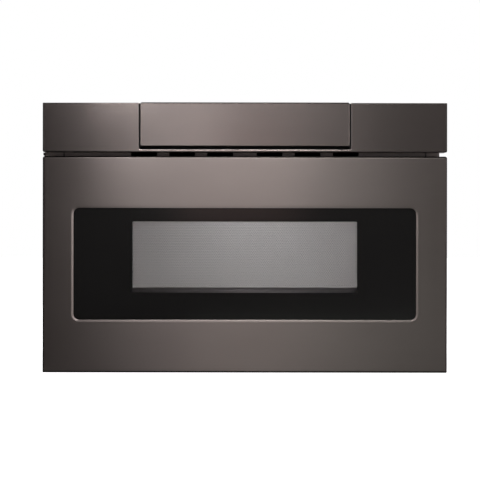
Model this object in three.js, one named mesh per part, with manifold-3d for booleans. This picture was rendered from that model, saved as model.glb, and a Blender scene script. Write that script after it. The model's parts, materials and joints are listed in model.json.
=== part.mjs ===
// Built-in microwave drawer, 24 inch class, as an assembly of its separate pieces.
// Millimetres, +Z up. The front skin faces -Y. The finished group's origin is the middle of the
// appliance's footprint, level with the lower edge of the drawer front.
import * as THREE from "three";
import { mergeVertices } from "three/addons/utils/BufferGeometryUtils.js";
import Module from "manifold-3d";

const wasm = await Module();
wasm.setup();

// Driving dimensions. Inside this file y runs back from the front skin at 0.

// Sheets and fits
const sheet = 1;
const frameSheet = 1.2;
const seat = 0.3; // gap between two pieces that are fastened together
const slideGap = 0.4; // gap between the running faces of a slide
const shaftClearance = 0.35;

// Oven cavity and the drawer box that slides into it
const cavityWidth = 452;
const cavityHeight = 202;
const cavityDepth = 449;
const cavityFlange = 4;
const floorFlange = 10;
const boxSideGap = 6.5;
const boxFloorGap = 7;
const boxCeilingGap = 7;
const boxBackGap = 30;
const boxRimWidth = 4;
const boxLedge = 13;
const boxCorner = 12;
const floorPlateThickness = 5;
const drawerTravel = 381;

// Chassis round the cavity
const underBay = 72; // chassis underside to cavity floor
const sideBay = 32; // cavity wall to drawer bracket
const baseEdge = 14;
const ribHeight = 3;
const ribWidth = 24;
const ribPitch = 75;
const railThickness = 2;
const railFoot = 26;
const railClearance = 0.9;
const glandProud = 4;
const glandBore = 5;
const glandHole = 11;
const glandFlange = 15;
const glandNut = 6.6;
const glandInset = 47; // from the chassis side
const glandLift = 46.5;

// How far the front stands out from and over the cabinet opening
const overlayDepth = 31; // front skin to the cabinet face, which the flanges bear on
const bottomOverhang = 14;
const topOverhang = 18;
const sideOverhang = 24;
const frameInset = 6; // front frame inside the chassis and below the top of the front
const flangeMargin = 9; // right mounting flange inside the edge of the front
const wideFlangeMargin = 0.6; // the left one, which closes the end of the vent gap
const flangeLeg = 32;
const flangeHole = 2.6;

// Stainless drawer front
const frontMargin = 4; // door frame's edge to the pan's top wall
const panFlange = 12;
const panSetback = 5.8; // back of the pan to the face of the frame
const bendRadius = 2;
const sideBand = 46.5; // steel each side of the glass
const glassHeight = 167.4; // what shows of the glass inside its steel lip
const glassBottom = 79;
const glassCorner = 8.5;
const lipWidth = 3.3;
const lipDrop = 1.6;
const glassThickness = 4;
const glassOverlap = 4; // hidden behind the lip
const viewSideBorder = 87.5; // black glass round the view into the drawer
const viewTopBorder = 19.4;
const viewBottomBorder = 40;

// Door behind the stainless front
const frameSideMargin = 13.5; // door frame beyond the glass
const frameDrop = 28; // below the cavity floor
const frameRise = 22; // above the cavity ceiling
const doorFlange = 10;
const screenSheet = 0.8;
const screenBorder = 8;
const screenColumns = 10; // of the coarse perforation
const screenRows = 4;
const innerPaneThickness = 2;
const innerPaneBorder = 26;
const innerPaneOverlap = 5; // held behind the funnel
const chokeGap = 6; // between the choke wall and its cover
const chokeDrop = 10; // choke wall inside the door frame's edge
const chokeCoverWall = 2.5;
const chokeCoverGap = 2; // cover to drawer bracket
const doorSetback = 1.8; // back of the door to the face of the frame

// Telescopic slides
const bracketThickness = 2;
const bracketHeight = 38;
const slideDrop = 24; // slide centre below the cavity floor
const slideSetback = 9;
const slideHeight = 36;
const slideSheet = 1.2;
const slideWidth = 13; // across the three members
const flangeEase = 0.85; // flanges short of the next member's web
const cageWidth = 2.2; // middle member's flange with its ball cage

// Rack and pinion drive
const gearModule = 2;
const pinionTeeth = 17;
const pressureAngle = 20; // degrees
const backlash = 0.3;
const rackWidth = 11;
const rackBacking = 7.5; // rack body above its tooth roots
const pinionShaftRadius = 4;
const pinionShaftReach = 22;
const gearboxSetback = 3.7;
const gearboxWidth = 30;
const gearboxDepth = 58;
const gearboxRise = 26; // above the pinion's axis
const motorRadius = 17;
const motorLength = 56;

// Fixed strip over the drawer, and the control unit that tilts out of it
const ventGap = 6; // between the drawer front and the strip
const stripHeight = 74;
const stripFlange = 12;
const notchWidth = 318;
const notchBar = 4.2; // strip left under the notch
const notchReturn = 3.5;
const coverReveal = 5.3; // open under the cover, where its lower edge swings
const coverSideGap = 2.1;
const coverRise = 0.8; // how far the cover stands above the strip
const coverHem = 4;
const coverCorner = 2.5;
const housingClearance = 0.4;
const housingWall = 3;
const housingHeel = 15; // lower end of the wedge behind the hinge
const housingToe = 3;
const hingeBack = 11; // hinge axis behind the front skin
const hingeLift = 11.5; // hinge axis above the cover's lower edge
const hingePinRadius = 3;
const glassSlope = 55; // degrees between the touch glass and the cover
const touchGlassLength = 44;
const touchGlassThickness = 2;
const boardThickness = 1.6;
const boardDrop = 2; // board below the touch glass
const pocketWall = 2;
const pocketRise = 1.4; // pocket's floor over the bar
const pocketDepth = 31;
const topRelief = 20; // cut into the wrap's top edge over the pocket
const earRadius = 8.5;

// Front vents and their duct
const ventSlotWidth = 39;
const ventSlotPitch = 57.5;
const ventCentrePost = 36;
const ventSlotCorner = 1.5;
const ventOverlap = 1.3; // slots run on behind the edges of the gap
const ductWall = 2;
const ductDrop = 6;
const ductLength = 140;

// Interlock latches
const latchInset = 18; // inside the drawer bracket
const switchGap = 1; // interlock switch above the cavity's flange
const latchWidth = 8;
const latchReach = 30;
const latchClearance = 3;
const switchWall = 6;
const switchDepth = 52;

// Microwave feed
const wellRadius = 86;
const wellDepth = 22;
const wellFlange = 9;
const feedMargin = 4; // cavity floor left inside the well
const wellPlace = 219; // from the cavity mouth
const stirrerRadius = 70;
const paddleWidth = 26;
const stirrerShaft = 2.5;
const stirrerHub = 9;
const stirrerLift = 10; // paddles above the well's bottom
const paddleRise = 5;
const stirrerReach = 8; // shaft into its motor
const stirrerMotorRadius = 24;
const stirrerMotorHeight = 20;
const stirrerGear = 28; // gear end beside the motor's can
const guideWidth = 90;
const guideWall = 1.5;
const magnetronWidth = 96;
const magnetronDepth = 80;
const magnetronHeight = 92;
const magnetronGap = 8.7; // behind the cavity
const magnetronBack = 14; // to the rear panel
const anodeRadius = 20;
const finPitch = 9;
const filterHeight = 38;
const yokeWall = 3;

// Power parts
const coreWidth = 96;
const coreDepth = 60;
const coreHeight = 84;
const coreWindowWidth = 17;
const coreWindowHeight = 50;
const coreFoot = 12; // mounting foot beyond the laminations
const coilClearance = 0.7;
const coilGap = 2;
const capacitorWidth = 52;
const capacitorDepth = 34;
const capacitorHeight = 88;
const terminalWidth = 6.4;
const terminalHeight = 12;
const capacitorGap = 2; // to the transformer's foot
const powerMargin = 15; // capacitor to the chassis side

// Cooling fan
const fanRadius = 54;
const fanTipGap = 3;
const fanBlades = 7;
const fanPlace = 168;
const fanLift = 28.5; // shroud's lower lip
const shroudRim = 7;
const shroudDepth = 24;
const bladeThickness = 1.6;
const fanHub = 14;
const spokeWidth = 6;
const spokeDepth = 3;
const fanShaftReach = 12;
const fanShaftRadius = 3;
const fanMotorRadius = 25;
const fanMotorLength = 34;
const fanSetback = 7; // shroud to the rear panel's outer face

// Parts on the cavity's ceiling and wall
const boardWidth = 170;
const boardOverhang = 6; // beyond the cavity's left wall
const boardDepth = 180;
const boardPost = 9;
const postWidth = 8;
const boardPlace = 80; // from the cavity's back
const lampWidth = 54;
const lampHeight = 36;
const lampDepth = 24;
const socketRadius = 9;
const socketLength = 15;
const bulbRadius = 7;
const bulbLength = 22;
const lampPlace = 200; // from the cavity mouth
const lampDrop = 40; // below the cavity ceiling

// Levels and places worked out from them, from the cavity outwards.

const bracketFace = cavityWidth / 2 + sideBay;
const outerSlideBack = bracketFace + bracketThickness + seat + slideWidth;
const railOuter = outerSlideBack + seat + railThickness;
const halfChassis = railOuter + railClearance + frameSheet + seat + sheet;
const halfFront = halfChassis + sideOverhang;
const frameHalf = halfChassis - frameInset;
const flangeOuter = halfFront - flangeMargin;

const frameFace = overlayDepth - frameSheet;
const chassisFront = overlayDepth + seat;
const cavityBack = chassisFront + cavityDepth;
const rearFace = cavityBack + sheet + magnetronGap + magnetronDepth + magnetronBack;
const overallDepth = rearFace + glandProud;
const wrapBack = rearFace - sheet - seat;
const panDepth = frameFace - panSetback;
const doorBack = frameFace - doorSetback;
const stripDepth = frameFace - seat;

const baseTop = bottomOverhang + frameSheet;
const standing = baseTop + seat; // pieces that stand on the base plate
const cavityFloor = bottomOverhang + underBay;
const cavityCeiling = cavityFloor + cavityHeight;
const doorFrameBottom = cavityFloor - frameDrop;
const doorFrameTop = cavityCeiling + frameRise;
const drawerFrontHeight = doorFrameTop + doorFlange + frontMargin;
const stripBottom = drawerFrontHeight + ventGap;
const frontHeight = stripBottom + stripHeight;
const chassisTop = frontHeight - topOverhang;
const frameTop = frontHeight - frameInset;

const glassHalf = halfFront - sideBand;
const glassTop = glassBottom + glassHeight;
const glassFront = lipDrop + sheet + seat;
const glassBack = glassFront + glassThickness;
const doorPlateFront = glassBack + seat;
const doorPlateBack = doorPlateFront + sheet;
const screenFront = doorPlateBack + seat;
const screenBack = screenFront + screenSheet;
const innerPaneFront = screenBack + seat;
const innerPaneBack = innerPaneFront + innerPaneThickness;
const viewHalf = glassHalf - viewSideBorder;
const viewBottom = glassBottom + viewBottomBorder;
const viewTop = glassTop - viewTopBorder;
const mouthBorder = innerPaneBorder - innerPaneOverlap;
const mouthHalf = viewHalf + mouthBorder;
const mouthHeights = [viewBottom - mouthBorder, viewTop + mouthBorder];
const doorHalf = glassHalf + frameSideMargin;
const chokeCoverHalf = bracketFace - chokeCoverGap;

const boxWidth = cavityWidth - 2 * boxSideGap;
const boxFront = doorBack + seat;
const boxBack = cavityBack - boxBackGap;
const boxBottom = cavityFloor + boxFloorGap;
const boxRim = cavityCeiling - boxCeilingGap;

const slideLevel = cavityFloor - slideDrop;
const slideFront = chassisFront + slideSetback;
const bracketHeights = [slideLevel - bracketHeight / 2, slideLevel + bracketHeight / 2];
const pinionRadius = (gearModule * pinionTeeth) / 2;
const pinionPlace = chassisFront + gearboxSetback + gearboxDepth / 2;
const pinionLevel = slideLevel - pinionRadius;

const notchHalf = notchWidth / 2;
const notchBottom = stripBottom + notchBar;
const coverHalf = notchHalf - coverSideGap;
const coverBottom = notchBottom + coverReveal;
const coverTop = frontHeight + coverRise;
const controlHalf = coverHalf - sheet - housingClearance;
const hingeLevel = coverBottom + hingeLift;
const earFace = notchHalf + seat + housingClearance / 2;
const pocketHalf = earFace + pocketWall;

const ventLow = drawerFrontHeight - ventOverlap;
const ventHigh = stripBottom + ventOverlap;
const slotPlaces = [0, 1, 2].map((i) => ventCentrePost / 2 + i * ventSlotPitch);
const latchPlace = bracketFace - latchInset;
const latchLevel = cavityCeiling + cavityFlange + switchGap + sheet + 2 * latchClearance;
const latchBay = [latchLevel - 2 * latchClearance, latchLevel + 2 * latchClearance];

const wellY = chassisFront + wellPlace;
const wellTop = cavityFloor - sheet - seat;
const wellBottom = wellTop - wellDepth;
const deckLevel = cavityCeiling + sheet + seat;

// Materials.

const finish = (color, roughness, metalness) =>
  new THREE.MeshStandardMaterial({ color, roughness, metalness });
const blackSteel = finish(0x6b6461, 0.34, 0.9);
const darkPaint = finish(0x211f1e, 0.5, 0.3);
const zincSteel = finish(0xa9adb0, 0.45, 0.85);
const enamel = finish(0xb9b9b6, 0.4, 0.5);
const darkPlastic = finish(0x1b1b1c, 0.55, 0);
const blackGlass = finish(0x0d0d0e, 0.06, 0);
const clearGlass = finish(0xcfd6d6, 0.05, 0);
const ceramic = finish(0xd9d7d0, 0.3, 0);
const screenSteel = finish(0x9a9899, 0.5, 0.6);
const acetal = finish(0xe4e2da, 0.5, 0);
const copper = finish(0xb06a3c, 0.4, 0.8);
const aluminium = finish(0xc4c7c9, 0.35, 0.9);
const circuitGreen = finish(0x1f5a3a, 0.6, 0);

// Joining and cutting.

// A closed geometry as a solid that can be joined and cut.
function solidOf(shape) {
  if (shape instanceof wasm.Manifold) return shape;
  const bare = shape.index ? shape.toNonIndexed() : shape.clone();
  bare.deleteAttribute("normal");
  bare.deleteAttribute("uv");
  const merged = mergeVertices(bare, 1e-4);
  return new wasm.Manifold(
    new wasm.Mesh({
      numProp: 3,
      vertProperties: merged.attributes.position.array,
      triVerts: new Uint32Array(merged.index.array),
    }),
  );
}

function geometryOf(shape) {
  const mesh = solidOf(shape).getMesh();
  const geometry = new THREE.BufferGeometry();
  geometry.setAttribute("position", new THREE.BufferAttribute(new Float32Array(mesh.vertProperties), 3));
  geometry.setIndex(new THREE.BufferAttribute(new Uint32Array(mesh.triVerts), 1));
  geometry.computeVertexNormals();
  return geometry;
}

const join = (first, ...others) =>
  others.reduce((sum, shape) => sum.add(solidOf(shape)), solidOf(first));
const cut = (first, ...others) =>
  others.reduce((rest, shape) => rest.subtract(solidOf(shape)), solidOf(first));
const common = (first, second) => solidOf(first).intersect(solidOf(second));

// Outlines.

// A rectangle with round corners, in whatever plane it is then extruded from.
function rectangle([x0, x1], [z0, z1], radius = 0) {
  const shape = new THREE.Shape();
  const quarter = Math.PI / 2;
  shape.moveTo(x0 + radius, z0);
  shape.lineTo(x1 - radius, z0);
  if (radius) shape.absarc(x1 - radius, z0 + radius, radius, -quarter, 0);
  shape.lineTo(x1, z1 - radius);
  if (radius) shape.absarc(x1 - radius, z1 - radius, radius, 0, quarter);
  shape.lineTo(x0 + radius, z1);
  if (radius) shape.absarc(x0 + radius, z1 - radius, radius, quarter, 2 * quarter);
  shape.lineTo(x0, z0 + radius);
  if (radius) shape.absarc(x0 + radius, z0 + radius, radius, 2 * quarter, 3 * quarter);
  return shape;
}

const polygon = (points) => new THREE.Shape(points.map(([x, y]) => new THREE.Vector2(x, y)));

function pierced(shape, ...holes) {
  shape.holes.push(...holes);
  return shape;
}

// Spans from one number to another.
const about = (middle, width) => [middle - width / 2, middle + width / 2];
const both = (half) => [-half, half];
const from = (start, length) => [start, start + length];
const grown = ([low, high], margin) => [low - margin, high + margin];
// The same span on the left (side -1) or on the right (side 1).
const onSide = (side, a, b) => [side * a, side * b].sort((p, q) => p - q);

// Extrusions of a shape drawn in x and z, in x and y, and in y and z.
const extruded = (shape, depth, curveSegments = 2) =>
  new THREE.ExtrudeGeometry(shape, { depth, bevelEnabled: false, curveSegments });
const alongY = (shape, [y0, y1], curveSegments) =>
  extruded(shape, y1 - y0, curveSegments).rotateX(Math.PI / 2).translate(0, y1, 0);
const alongZ = (shape, [z0, z1], curveSegments) =>
  extruded(shape, z1 - z0, curveSegments).translate(0, 0, z0);
const yzToX = new THREE.Matrix4().makeBasis(
  new THREE.Vector3(0, 1, 0),
  new THREE.Vector3(0, 0, 1),
  new THREE.Vector3(1, 0, 0),
);
const alongX = (shape, [x0, x1], curveSegments) =>
  extruded(shape, x1 - x0, curveSegments).applyMatrix4(yzToX).translate(x0, 0, 0);

const slab = ([x0, x1], [y0, y1], [z0, z1]) =>
  new THREE.BoxGeometry(x1 - x0, y1 - y0, z1 - z0).translate((x0 + x1) / 2, (y0 + y1) / 2, (z0 + z1) / 2);

// Rods along each axis, over a span.
const rod = (radius, [start, end], segments) =>
  new THREE.CylinderGeometry(radius, radius, end - start, segments).translate(0, (start + end) / 2, 0);
const rodY = (radius, span, segments = 24) => rod(radius, span, segments);
const rodZ = (radius, span, segments = 24) => rod(radius, span, segments).rotateX(Math.PI / 2);
const rodX = (radius, span, segments = 24) => rod(radius, span, segments).rotateZ(-Math.PI / 2);

// A section swept round a rounded rectangle in the front plane. It lists [inset from the
// rectangle, y] and runs so that the solid is on its right, seen with the inset to the right.
function sweptFrame([x0, x1], [z0, z1], radius, section, cornerSteps = 4) {
  const steps = radius ? cornerSteps : 0;
  const loops = section.map(([inset, y]) => {
    const r = Math.max(radius - inset, 0);
    const corners = [
      [x1 - inset - r, z0 + inset + r, -90],
      [x1 - inset - r, z1 - inset - r, 0],
      [x0 + inset + r, z1 - inset - r, 90],
      [x0 + inset + r, z0 + inset + r, 180],
    ];
    return corners.flatMap(([cx, cz, start]) =>
      Array.from({ length: steps + 1 }, (_, i) => {
        const angle = THREE.MathUtils.degToRad(start + (steps ? (90 * i) / steps : 0));
        return [cx + r * Math.cos(angle), y, cz + r * Math.sin(angle)];
      }),
    );
  });
  const around = loops[0].length;
  const indices = [];
  loops.forEach((_, i) => {
    const next = (i + 1) % loops.length;
    for (let k = 0; k < around; k += 1) {
      const m = (k + 1) % around;
      const [a, b, c, d] = [i * around + k, i * around + m, next * around + m, next * around + k];
      indices.push(a, b, c, a, c, d);
    }
  });
  const geometry = new THREE.BufferGeometry();
  geometry.setAttribute("position", new THREE.Float32BufferAttribute(loops.flat(2), 3));
  geometry.setIndex(indices);
  return geometry;
}

// A plain wall of a sweptFrame, from its outer face inwards.
const wallSection = (thickness, [y0, y1]) => [
  [0, y1],
  [0, y0],
  [thickness, y0],
  [thickness, y1],
];

// A grid of openings, each made by the function from its own spans.
function grid(columns, [left, pitch, width], rows, [low, rise, height], place) {
  const openings = [];
  for (let i = 0; i < columns; i += 1) {
    for (let k = 0; k < rows; k += 1) {
      openings.push(place(from(left + i * pitch, width), from(low + k * rise, height)));
    }
  }
  return openings;
}

// Drawer front and its door.

function drawerFront() {
  const opening = glassHalf + lipWidth;
  const openingHeights = grown([glassBottom, glassTop], lipWidth);
  const radius = glassCorner + lipWidth;
  const flatEdge = 2 * bendRadius;
  const skin = pierced(
    rectangle(both(halfFront - flatEdge), [flatEdge, drawerFrontHeight - flatEdge]),
    rectangle(both(opening), openingHeights, radius),
  );
  // Bend, side return and turned-in back flange of the pan, in one section.
  const rim = sweptFrame(both(halfFront), [0, drawerFrontHeight], 0, [
    [0, panDepth],
    [0, bendRadius],
    [0.3 * bendRadius, 0.3 * bendRadius],
    [bendRadius, 0],
    [flatEdge + sheet, 0],
    [flatEdge + sheet, sheet],
    [bendRadius + sheet, sheet],
    [sheet, bendRadius + sheet],
    [sheet, panDepth - sheet],
    [panFlange, panDepth - sheet],
    [panFlange, panDepth],
  ]);
  // Lip rolled in around the glass.
  const lip = sweptFrame(both(opening), openingHeights, radius, [
    [-sheet, 0],
    [0, 0],
    [lipWidth, lipDrop],
    [lipWidth, lipDrop + sheet],
    [0, sheet],
    [-sheet, sheet],
  ]);
  return join(alongY(skin, [0, sheet]), rim, lip);
}

function windowGlass() {
  const heights = grown([glassBottom, glassTop], glassOverlap);
  const face = rectangle(both(glassHalf + glassOverlap), heights, glassCorner + glassOverlap);
  return alongY(face, [glassFront, glassBack]);
}

// Folded steel frame that clamps the glass and screen and carries the microwave choke.
function doorFrame() {
  const heights = [doorFrameBottom, doorFrameTop];
  const plate = pierced(rectangle(both(doorHalf), heights), rectangle(both(viewHalf), [viewBottom, viewTop]));
  const flangeFront = sheet + seat;
  const middle = (doorPlateFront + doorPlateBack) / 2;
  const step = sweptFrame(both(doorHalf), heights, 0, [
    [-doorFlange, flangeFront],
    [sheet, flangeFront],
    [sheet, middle],
    [0, middle],
    [0, flangeFront + sheet],
    [-doorFlange, flangeFront + sheet],
  ]);
  const choke = sweptFrame(
    both(chokeCoverHalf - chokeGap),
    grown(heights, -chokeDrop),
    0,
    wallSection(sheet, [middle, doorBack - chokeGap]),
  );
  return join(alongY(plate, [doorPlateFront, doorPlateBack]), step, choke);
}

// Perforated steel screen. The real holes are finer than this coarse pattern.
function doorScreen() {
  const face = rectangle(both(viewHalf + screenBorder), grown([viewBottom, viewTop], screenBorder));
  const pitch = (2 * viewHalf) / screenColumns;
  const rise = (viewTop - viewBottom) / screenRows;
  const columns = [pitch / 4 - viewHalf, pitch, pitch / 2];
  const rows = [viewBottom + rise / 4, rise, rise / 2];
  const holes = grid(screenColumns, columns, screenRows, rows, (x, z) =>
    slab(x, grown([screenFront, screenBack], sheet), z),
  );
  return cut(alongY(face, [screenFront, screenBack]), ...holes);
}

function innerPane() {
  const face = rectangle(both(viewHalf + innerPaneBorder), grown([viewBottom, viewTop], innerPaneBorder), 4);
  return alongY(face, [innerPaneFront, innerPaneBack]);
}

// Moulded cover over the choke, with a funnel down to the inner pane.
function chokeCover() {
  const corner = 2 * chokeCoverWall;
  const heights = grown([doorFrameBottom, doorFrameTop], chokeGap - chokeDrop);
  const middle = doorBack - chokeCoverWall / 2;
  const plate = pierced(
    rectangle(both(chokeCoverHalf), heights, corner),
    rectangle(both(mouthHalf), mouthHeights, corner),
  );
  const skirt = sweptFrame(
    both(chokeCoverHalf),
    heights,
    corner,
    wallSection(chokeCoverWall, [screenFront, middle]),
  );
  const funnel = sweptFrame(
    grown(both(mouthHalf), chokeCoverWall),
    grown(mouthHeights, chokeCoverWall),
    corner + chokeCoverWall,
    wallSection(chokeCoverWall, [innerPaneBack + seat, middle]),
  );
  return join(alongY(plate, [doorBack - chokeCoverWall, doorBack]), skirt, funnel);
}

// Drawer box.

function drawerBox() {
  const half = boxWidth / 2;
  const runs = [boxFront, boxBack];
  const corner = boxCorner + sheet;
  const outside = alongZ(rectangle(both(half + sheet), runs, corner), [boxBottom, boxRim], 3);
  const rimOutline = rectangle(both(half + sheet + boxRimWidth), [boxFront, boxBack + boxRimWidth], corner);
  const rim = alongZ(rimOutline, [boxRim - sheet, boxRim], 3);
  const insideOutline = rectangle(both(half), grown(runs, -sheet), boxCorner);
  const inside = alongZ(insideOutline, [boxBottom + sheet, boxRim + sheet], 3);
  const floorHole = slab(
    both(half - boxLedge),
    grown(runs, -sheet - boxLedge),
    [boxBottom - sheet, boxBottom + 2 * sheet],
  );
  const window = slab(both(mouthHalf), grown(from(boxFront, sheet), sheet), mouthHeights);
  return cut(join(outside, rim), inside, floorHole, window);
}

function drawerFloor() {
  const gap = sheet + seat;
  const outline = rectangle(both(boxWidth / 2 - seat), grown([boxFront, boxBack], -gap), boxCorner - seat);
  return alongZ(outline, from(boxBottom + gap, floorPlateThickness));
}

const slideLength = cavityBack - slideFront;

// Angle that carries one side of the drawer on its slide.
function drawerBracket(side) {
  const tabFront = panDepth + seat;
  const thick = bracketThickness;
  const web = slab(
    onSide(side, bracketFace, bracketFace + thick),
    [tabFront, cavityBack - boxBackGap],
    bracketHeights,
  );
  const tab = slab(onSide(side, bracketFace, halfFront - 3 * sheet), from(tabFront, thick), bracketHeights);
  return join(web, tab);
}

// Telescopic slides.

// One member as a C section: its web's back, the way its channel opens, and its flanges.
function slideMember(side, back, opening, depth, inset, flange) {
  const [z0, z1] = grown(about(slideLevel, slideHeight), -inset);
  const tip = back + opening * depth;
  const inside = back + opening * slideSheet;
  const section = [
    [back, z0],
    [tip, z0],
    [tip, z0 + flange],
    [inside, z0 + flange],
    [inside, z1 - flange],
    [tip, z1 - flange],
    [tip, z1],
    [back, z1],
  ].map(([x, z]) => [side * x, z]);
  return alongY(polygon(section), from(slideFront, slideLength));
}

const memberStep = slideSheet + slideGap;
const outerSlide = (side) =>
  slideMember(side, outerSlideBack, -1, slideWidth - memberStep - flangeEase, 0, slideSheet);
const middleSlide = (side) => {
  const depth = slideWidth - 2 * memberStep - flangeEase;
  return slideMember(side, outerSlideBack - memberStep, -1, depth, memberStep, cageWidth);
};
const innerSlide = (side) => {
  const back = bracketFace + bracketThickness + seat;
  return slideMember(side, back, 1, (slideWidth + sheet) / 2, memberStep + cageWidth + slideGap, slideSheet);
};

// Upright on the base plate that the fixed member is riveted to.
function railSupport(side) {
  const run = [chassisFront + railThickness, cavityBack];
  const web = slab(
    onSide(side, railOuter - railThickness, railOuter),
    run,
    [standing, slideLevel + slideHeight / 2 + railThickness],
  );
  const foot = slab(onSide(side, railOuter - railFoot, railOuter), run, from(standing, railThickness));
  return join(web, foot);
}

// Rack and pinion.

const flankAngle = THREE.MathUtils.degToRad(pressureAngle);
const circularPitch = Math.PI * gearModule;
const addendum = gearModule;
const dedendum = 1.25 * gearModule;
const rackOuter = bracketFace - seat;

function driveRack() {
  const slope = Math.tan(flankAngle);
  const halfTooth = circularPitch / 4 - backlash / 4;
  const tip = slideLevel - addendum;
  const root = slideLevel + dedendum;
  const first = Math.ceil((boxFront + gearModule * 2 - pinionPlace) / circularPitch);
  const last = Math.floor((drawerTravel + gearModule * 6) / circularPitch);
  const points = [];
  for (let k = first; k <= last; k += 1) {
    const y = pinionPlace + k * circularPitch;
    points.push([y - halfTooth - dedendum * slope, root]);
    points.push([y - halfTooth + addendum * slope, tip]);
    points.push([y + halfTooth - addendum * slope, tip]);
    points.push([y + halfTooth + dedendum * slope, root]);
  }
  const ends = [points[0][0], points[points.length - 1][0]];
  points.push([ends[1], root + rackBacking], [ends[0], root + rackBacking]);
  return alongX(polygon(points), [rackOuter - rackWidth, rackOuter]);
}

const pinionFace = rackOuter - slideGap;

// Involute pinion on its shaft, drawn about its own axis with a tooth gap at the top.
function drivePinion() {
  const baseRadius = pinionRadius * Math.cos(flankAngle);
  const tipRadius = pinionRadius + addendum;
  const involute = (angle) => Math.tan(angle) - angle;
  const halfAtPitch = Math.PI / 2 / pinionTeeth - backlash / 4 / pinionRadius;
  const halfAngle = (radius) => {
    const turn = Math.acos(Math.min(1, baseRadius / radius));
    return halfAtPitch + involute(flankAngle) - involute(turn);
  };
  const upFlank = [0, 1, 2, 3].map((i) => THREE.MathUtils.lerp(baseRadius, tipRadius, i / 3));
  const flank = [pinionRadius - dedendum, ...upFlank];
  const points = [];
  for (let k = 0; k < pinionTeeth; k += 1) {
    const centre = Math.PI / 2 + ((k + 0.5) * 2 * Math.PI) / pinionTeeth;
    flank.forEach((r) => points.push([r, centre - halfAngle(r)]));
    [...flank].reverse().forEach((r) => points.push([r, centre + halfAngle(r)]));
  }
  const outline = polygon(points.map(([r, a]) => [r * Math.cos(a), r * Math.sin(a)]));
  const back = pinionFace - rackWidth + sheet;
  const teeth = alongX(outline, [back, pinionFace]);
  return join(teeth, rodX(pinionShaftRadius, [back - pinionShaftReach, pinionFace + seat], 20));
}

const gearboxFace = pinionFace - rackWidth - sheet;

function driveGearbox() {
  const [front, back] = about(pinionPlace, gearboxDepth);
  const bulge = gearboxDepth / 4;
  const top = pinionLevel + gearboxRise;
  const body = polygon([
    [front, standing],
    [back, standing],
    [back, pinionLevel],
    [back - bulge, top],
    [front + bulge, top],
    [front, pinionLevel + bulge],
  ]);
  const boss = rodX(2 * pinionShaftRadius, grown(from(gearboxFace, 0), sheet), 20);
  const reach = [gearboxFace - pinionShaftReach, gearboxFace + 2 * sheet];
  const bore = rodX(pinionShaftRadius + shaftClearance, reach, 20);
  boss.translate(0, pinionPlace, pinionLevel);
  bore.translate(0, pinionPlace, pinionLevel);
  return cut(join(alongX(body, [gearboxFace - gearboxWidth, gearboxFace]), boss), bore);
}

// Geared motor's can, with its narrower neck and bearing cap.
function driveMotor() {
  const end = gearboxFace - gearboxWidth - seat;
  const neckLength = motorRadius / 5;
  const can = rodX(motorRadius, [end - motorLength, end - neckLength], 28);
  const neck = rodX(motorRadius * 0.7, [end - 2 * neckLength, end], 28);
  const cap = rodX(motorRadius / 2, [end - motorLength - neckLength, end - motorLength + neckLength], 20);
  return join(can, neck, cap);
}

// Tilting control unit, drawn about its hinge axis so that it can turn.

const fromHinge = (y, z) => [y - hingeBack, z - hingeLevel];
const slopeRadians = THREE.MathUtils.degToRad(glassSlope);
const downGlass = [Math.sin(slopeRadians), -Math.cos(slopeRadians)];
const offGlass = [Math.cos(slopeRadians), Math.sin(slopeRadians)];
const glassStart = [coverHem, coverTop - sheet - 4 * housingClearance];

// A point on the control unit: a distance down the sloped face, and one out of it.
const onGlass = (down, out) =>
  fromHinge(
    glassStart[0] + downGlass[0] * down + offGlass[0] * out,
    glassStart[1] + downGlass[1] * down + offGlass[1] * out,
  );

// A band that lies along the sloped face.
const glassBand = ([start, end], [low, high]) =>
  polygon([onGlass(start, low), onGlass(end, low), onGlass(end, high), onGlass(start, high)]);

function controlCover() {
  const heights = [coverBottom, coverTop];
  const hem = sweptFrame(both(coverHalf), heights, 0, [
    [0, coverHem],
    [0, sheet / 2],
    [sheet / 2, 0],
    [2 * sheet, 0],
    [2 * sheet, sheet],
    [sheet, sheet],
    [sheet, coverHem],
  ]);
  const rounded = common(alongY(rectangle(both(coverHalf), heights, coverCorner), [0, coverHem]), hem);
  const skin = rectangle(both(coverHalf - sheet), grown(heights, -sheet));
  return join(rounded, alongY(skin, [0, sheet])).translate([0, -hingeBack, -hingeLevel]);
}

const housingFront = sheet + seat;
const housingBottom = coverBottom + sheet + 2 * housingClearance;

// Wedge-shaped housing: open at its sloped face, with a hinge pin on each side.
function controlHousing() {
  const outline = polygon([
    fromHinge(housingFront, housingBottom),
    fromHinge(housingFront, glassStart[1]),
    onGlass(0, 0),
    onGlass(touchGlassLength, 0),
    fromHinge(hingeBack + housingHeel, hingeLevel - 2 * sheet),
    fromHinge(hingeBack + housingToe, housingBottom),
  ]);
  const inner = housingFront + housingWall;
  const hollow = polygon([
    onGlass(housingWall, 1),
    onGlass(touchGlassLength - housingWall, 1),
    onGlass(touchGlassLength - housingWall, -4.5 * housingWall),
    fromHinge(inner, hingeLevel + hingeLift),
    fromHinge(inner, glassStart[1] - 2 * housingWall),
  ]);
  const shell = cut(alongX(outline, both(controlHalf)), alongX(hollow, both(controlHalf - housingWall)));
  const pins = [-1, 1].map((side) =>
    rodX(hingePinRadius, onSide(side, controlHalf - housingWall, pocketHalf - housingClearance), 20),
  );
  return join(shell, ...pins);
}

const touchGlass = () =>
  alongX(glassBand([0, touchGlassLength], from(seat, touchGlassThickness)), both(controlHalf));

function controlBoard() {
  const down = grown([0, touchGlassLength], -2 * housingWall);
  const band = glassBand(down, from(-boardDrop - boardThickness, boardThickness));
  return alongX(band, both(controlHalf - housingWall - seat));
}

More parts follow.
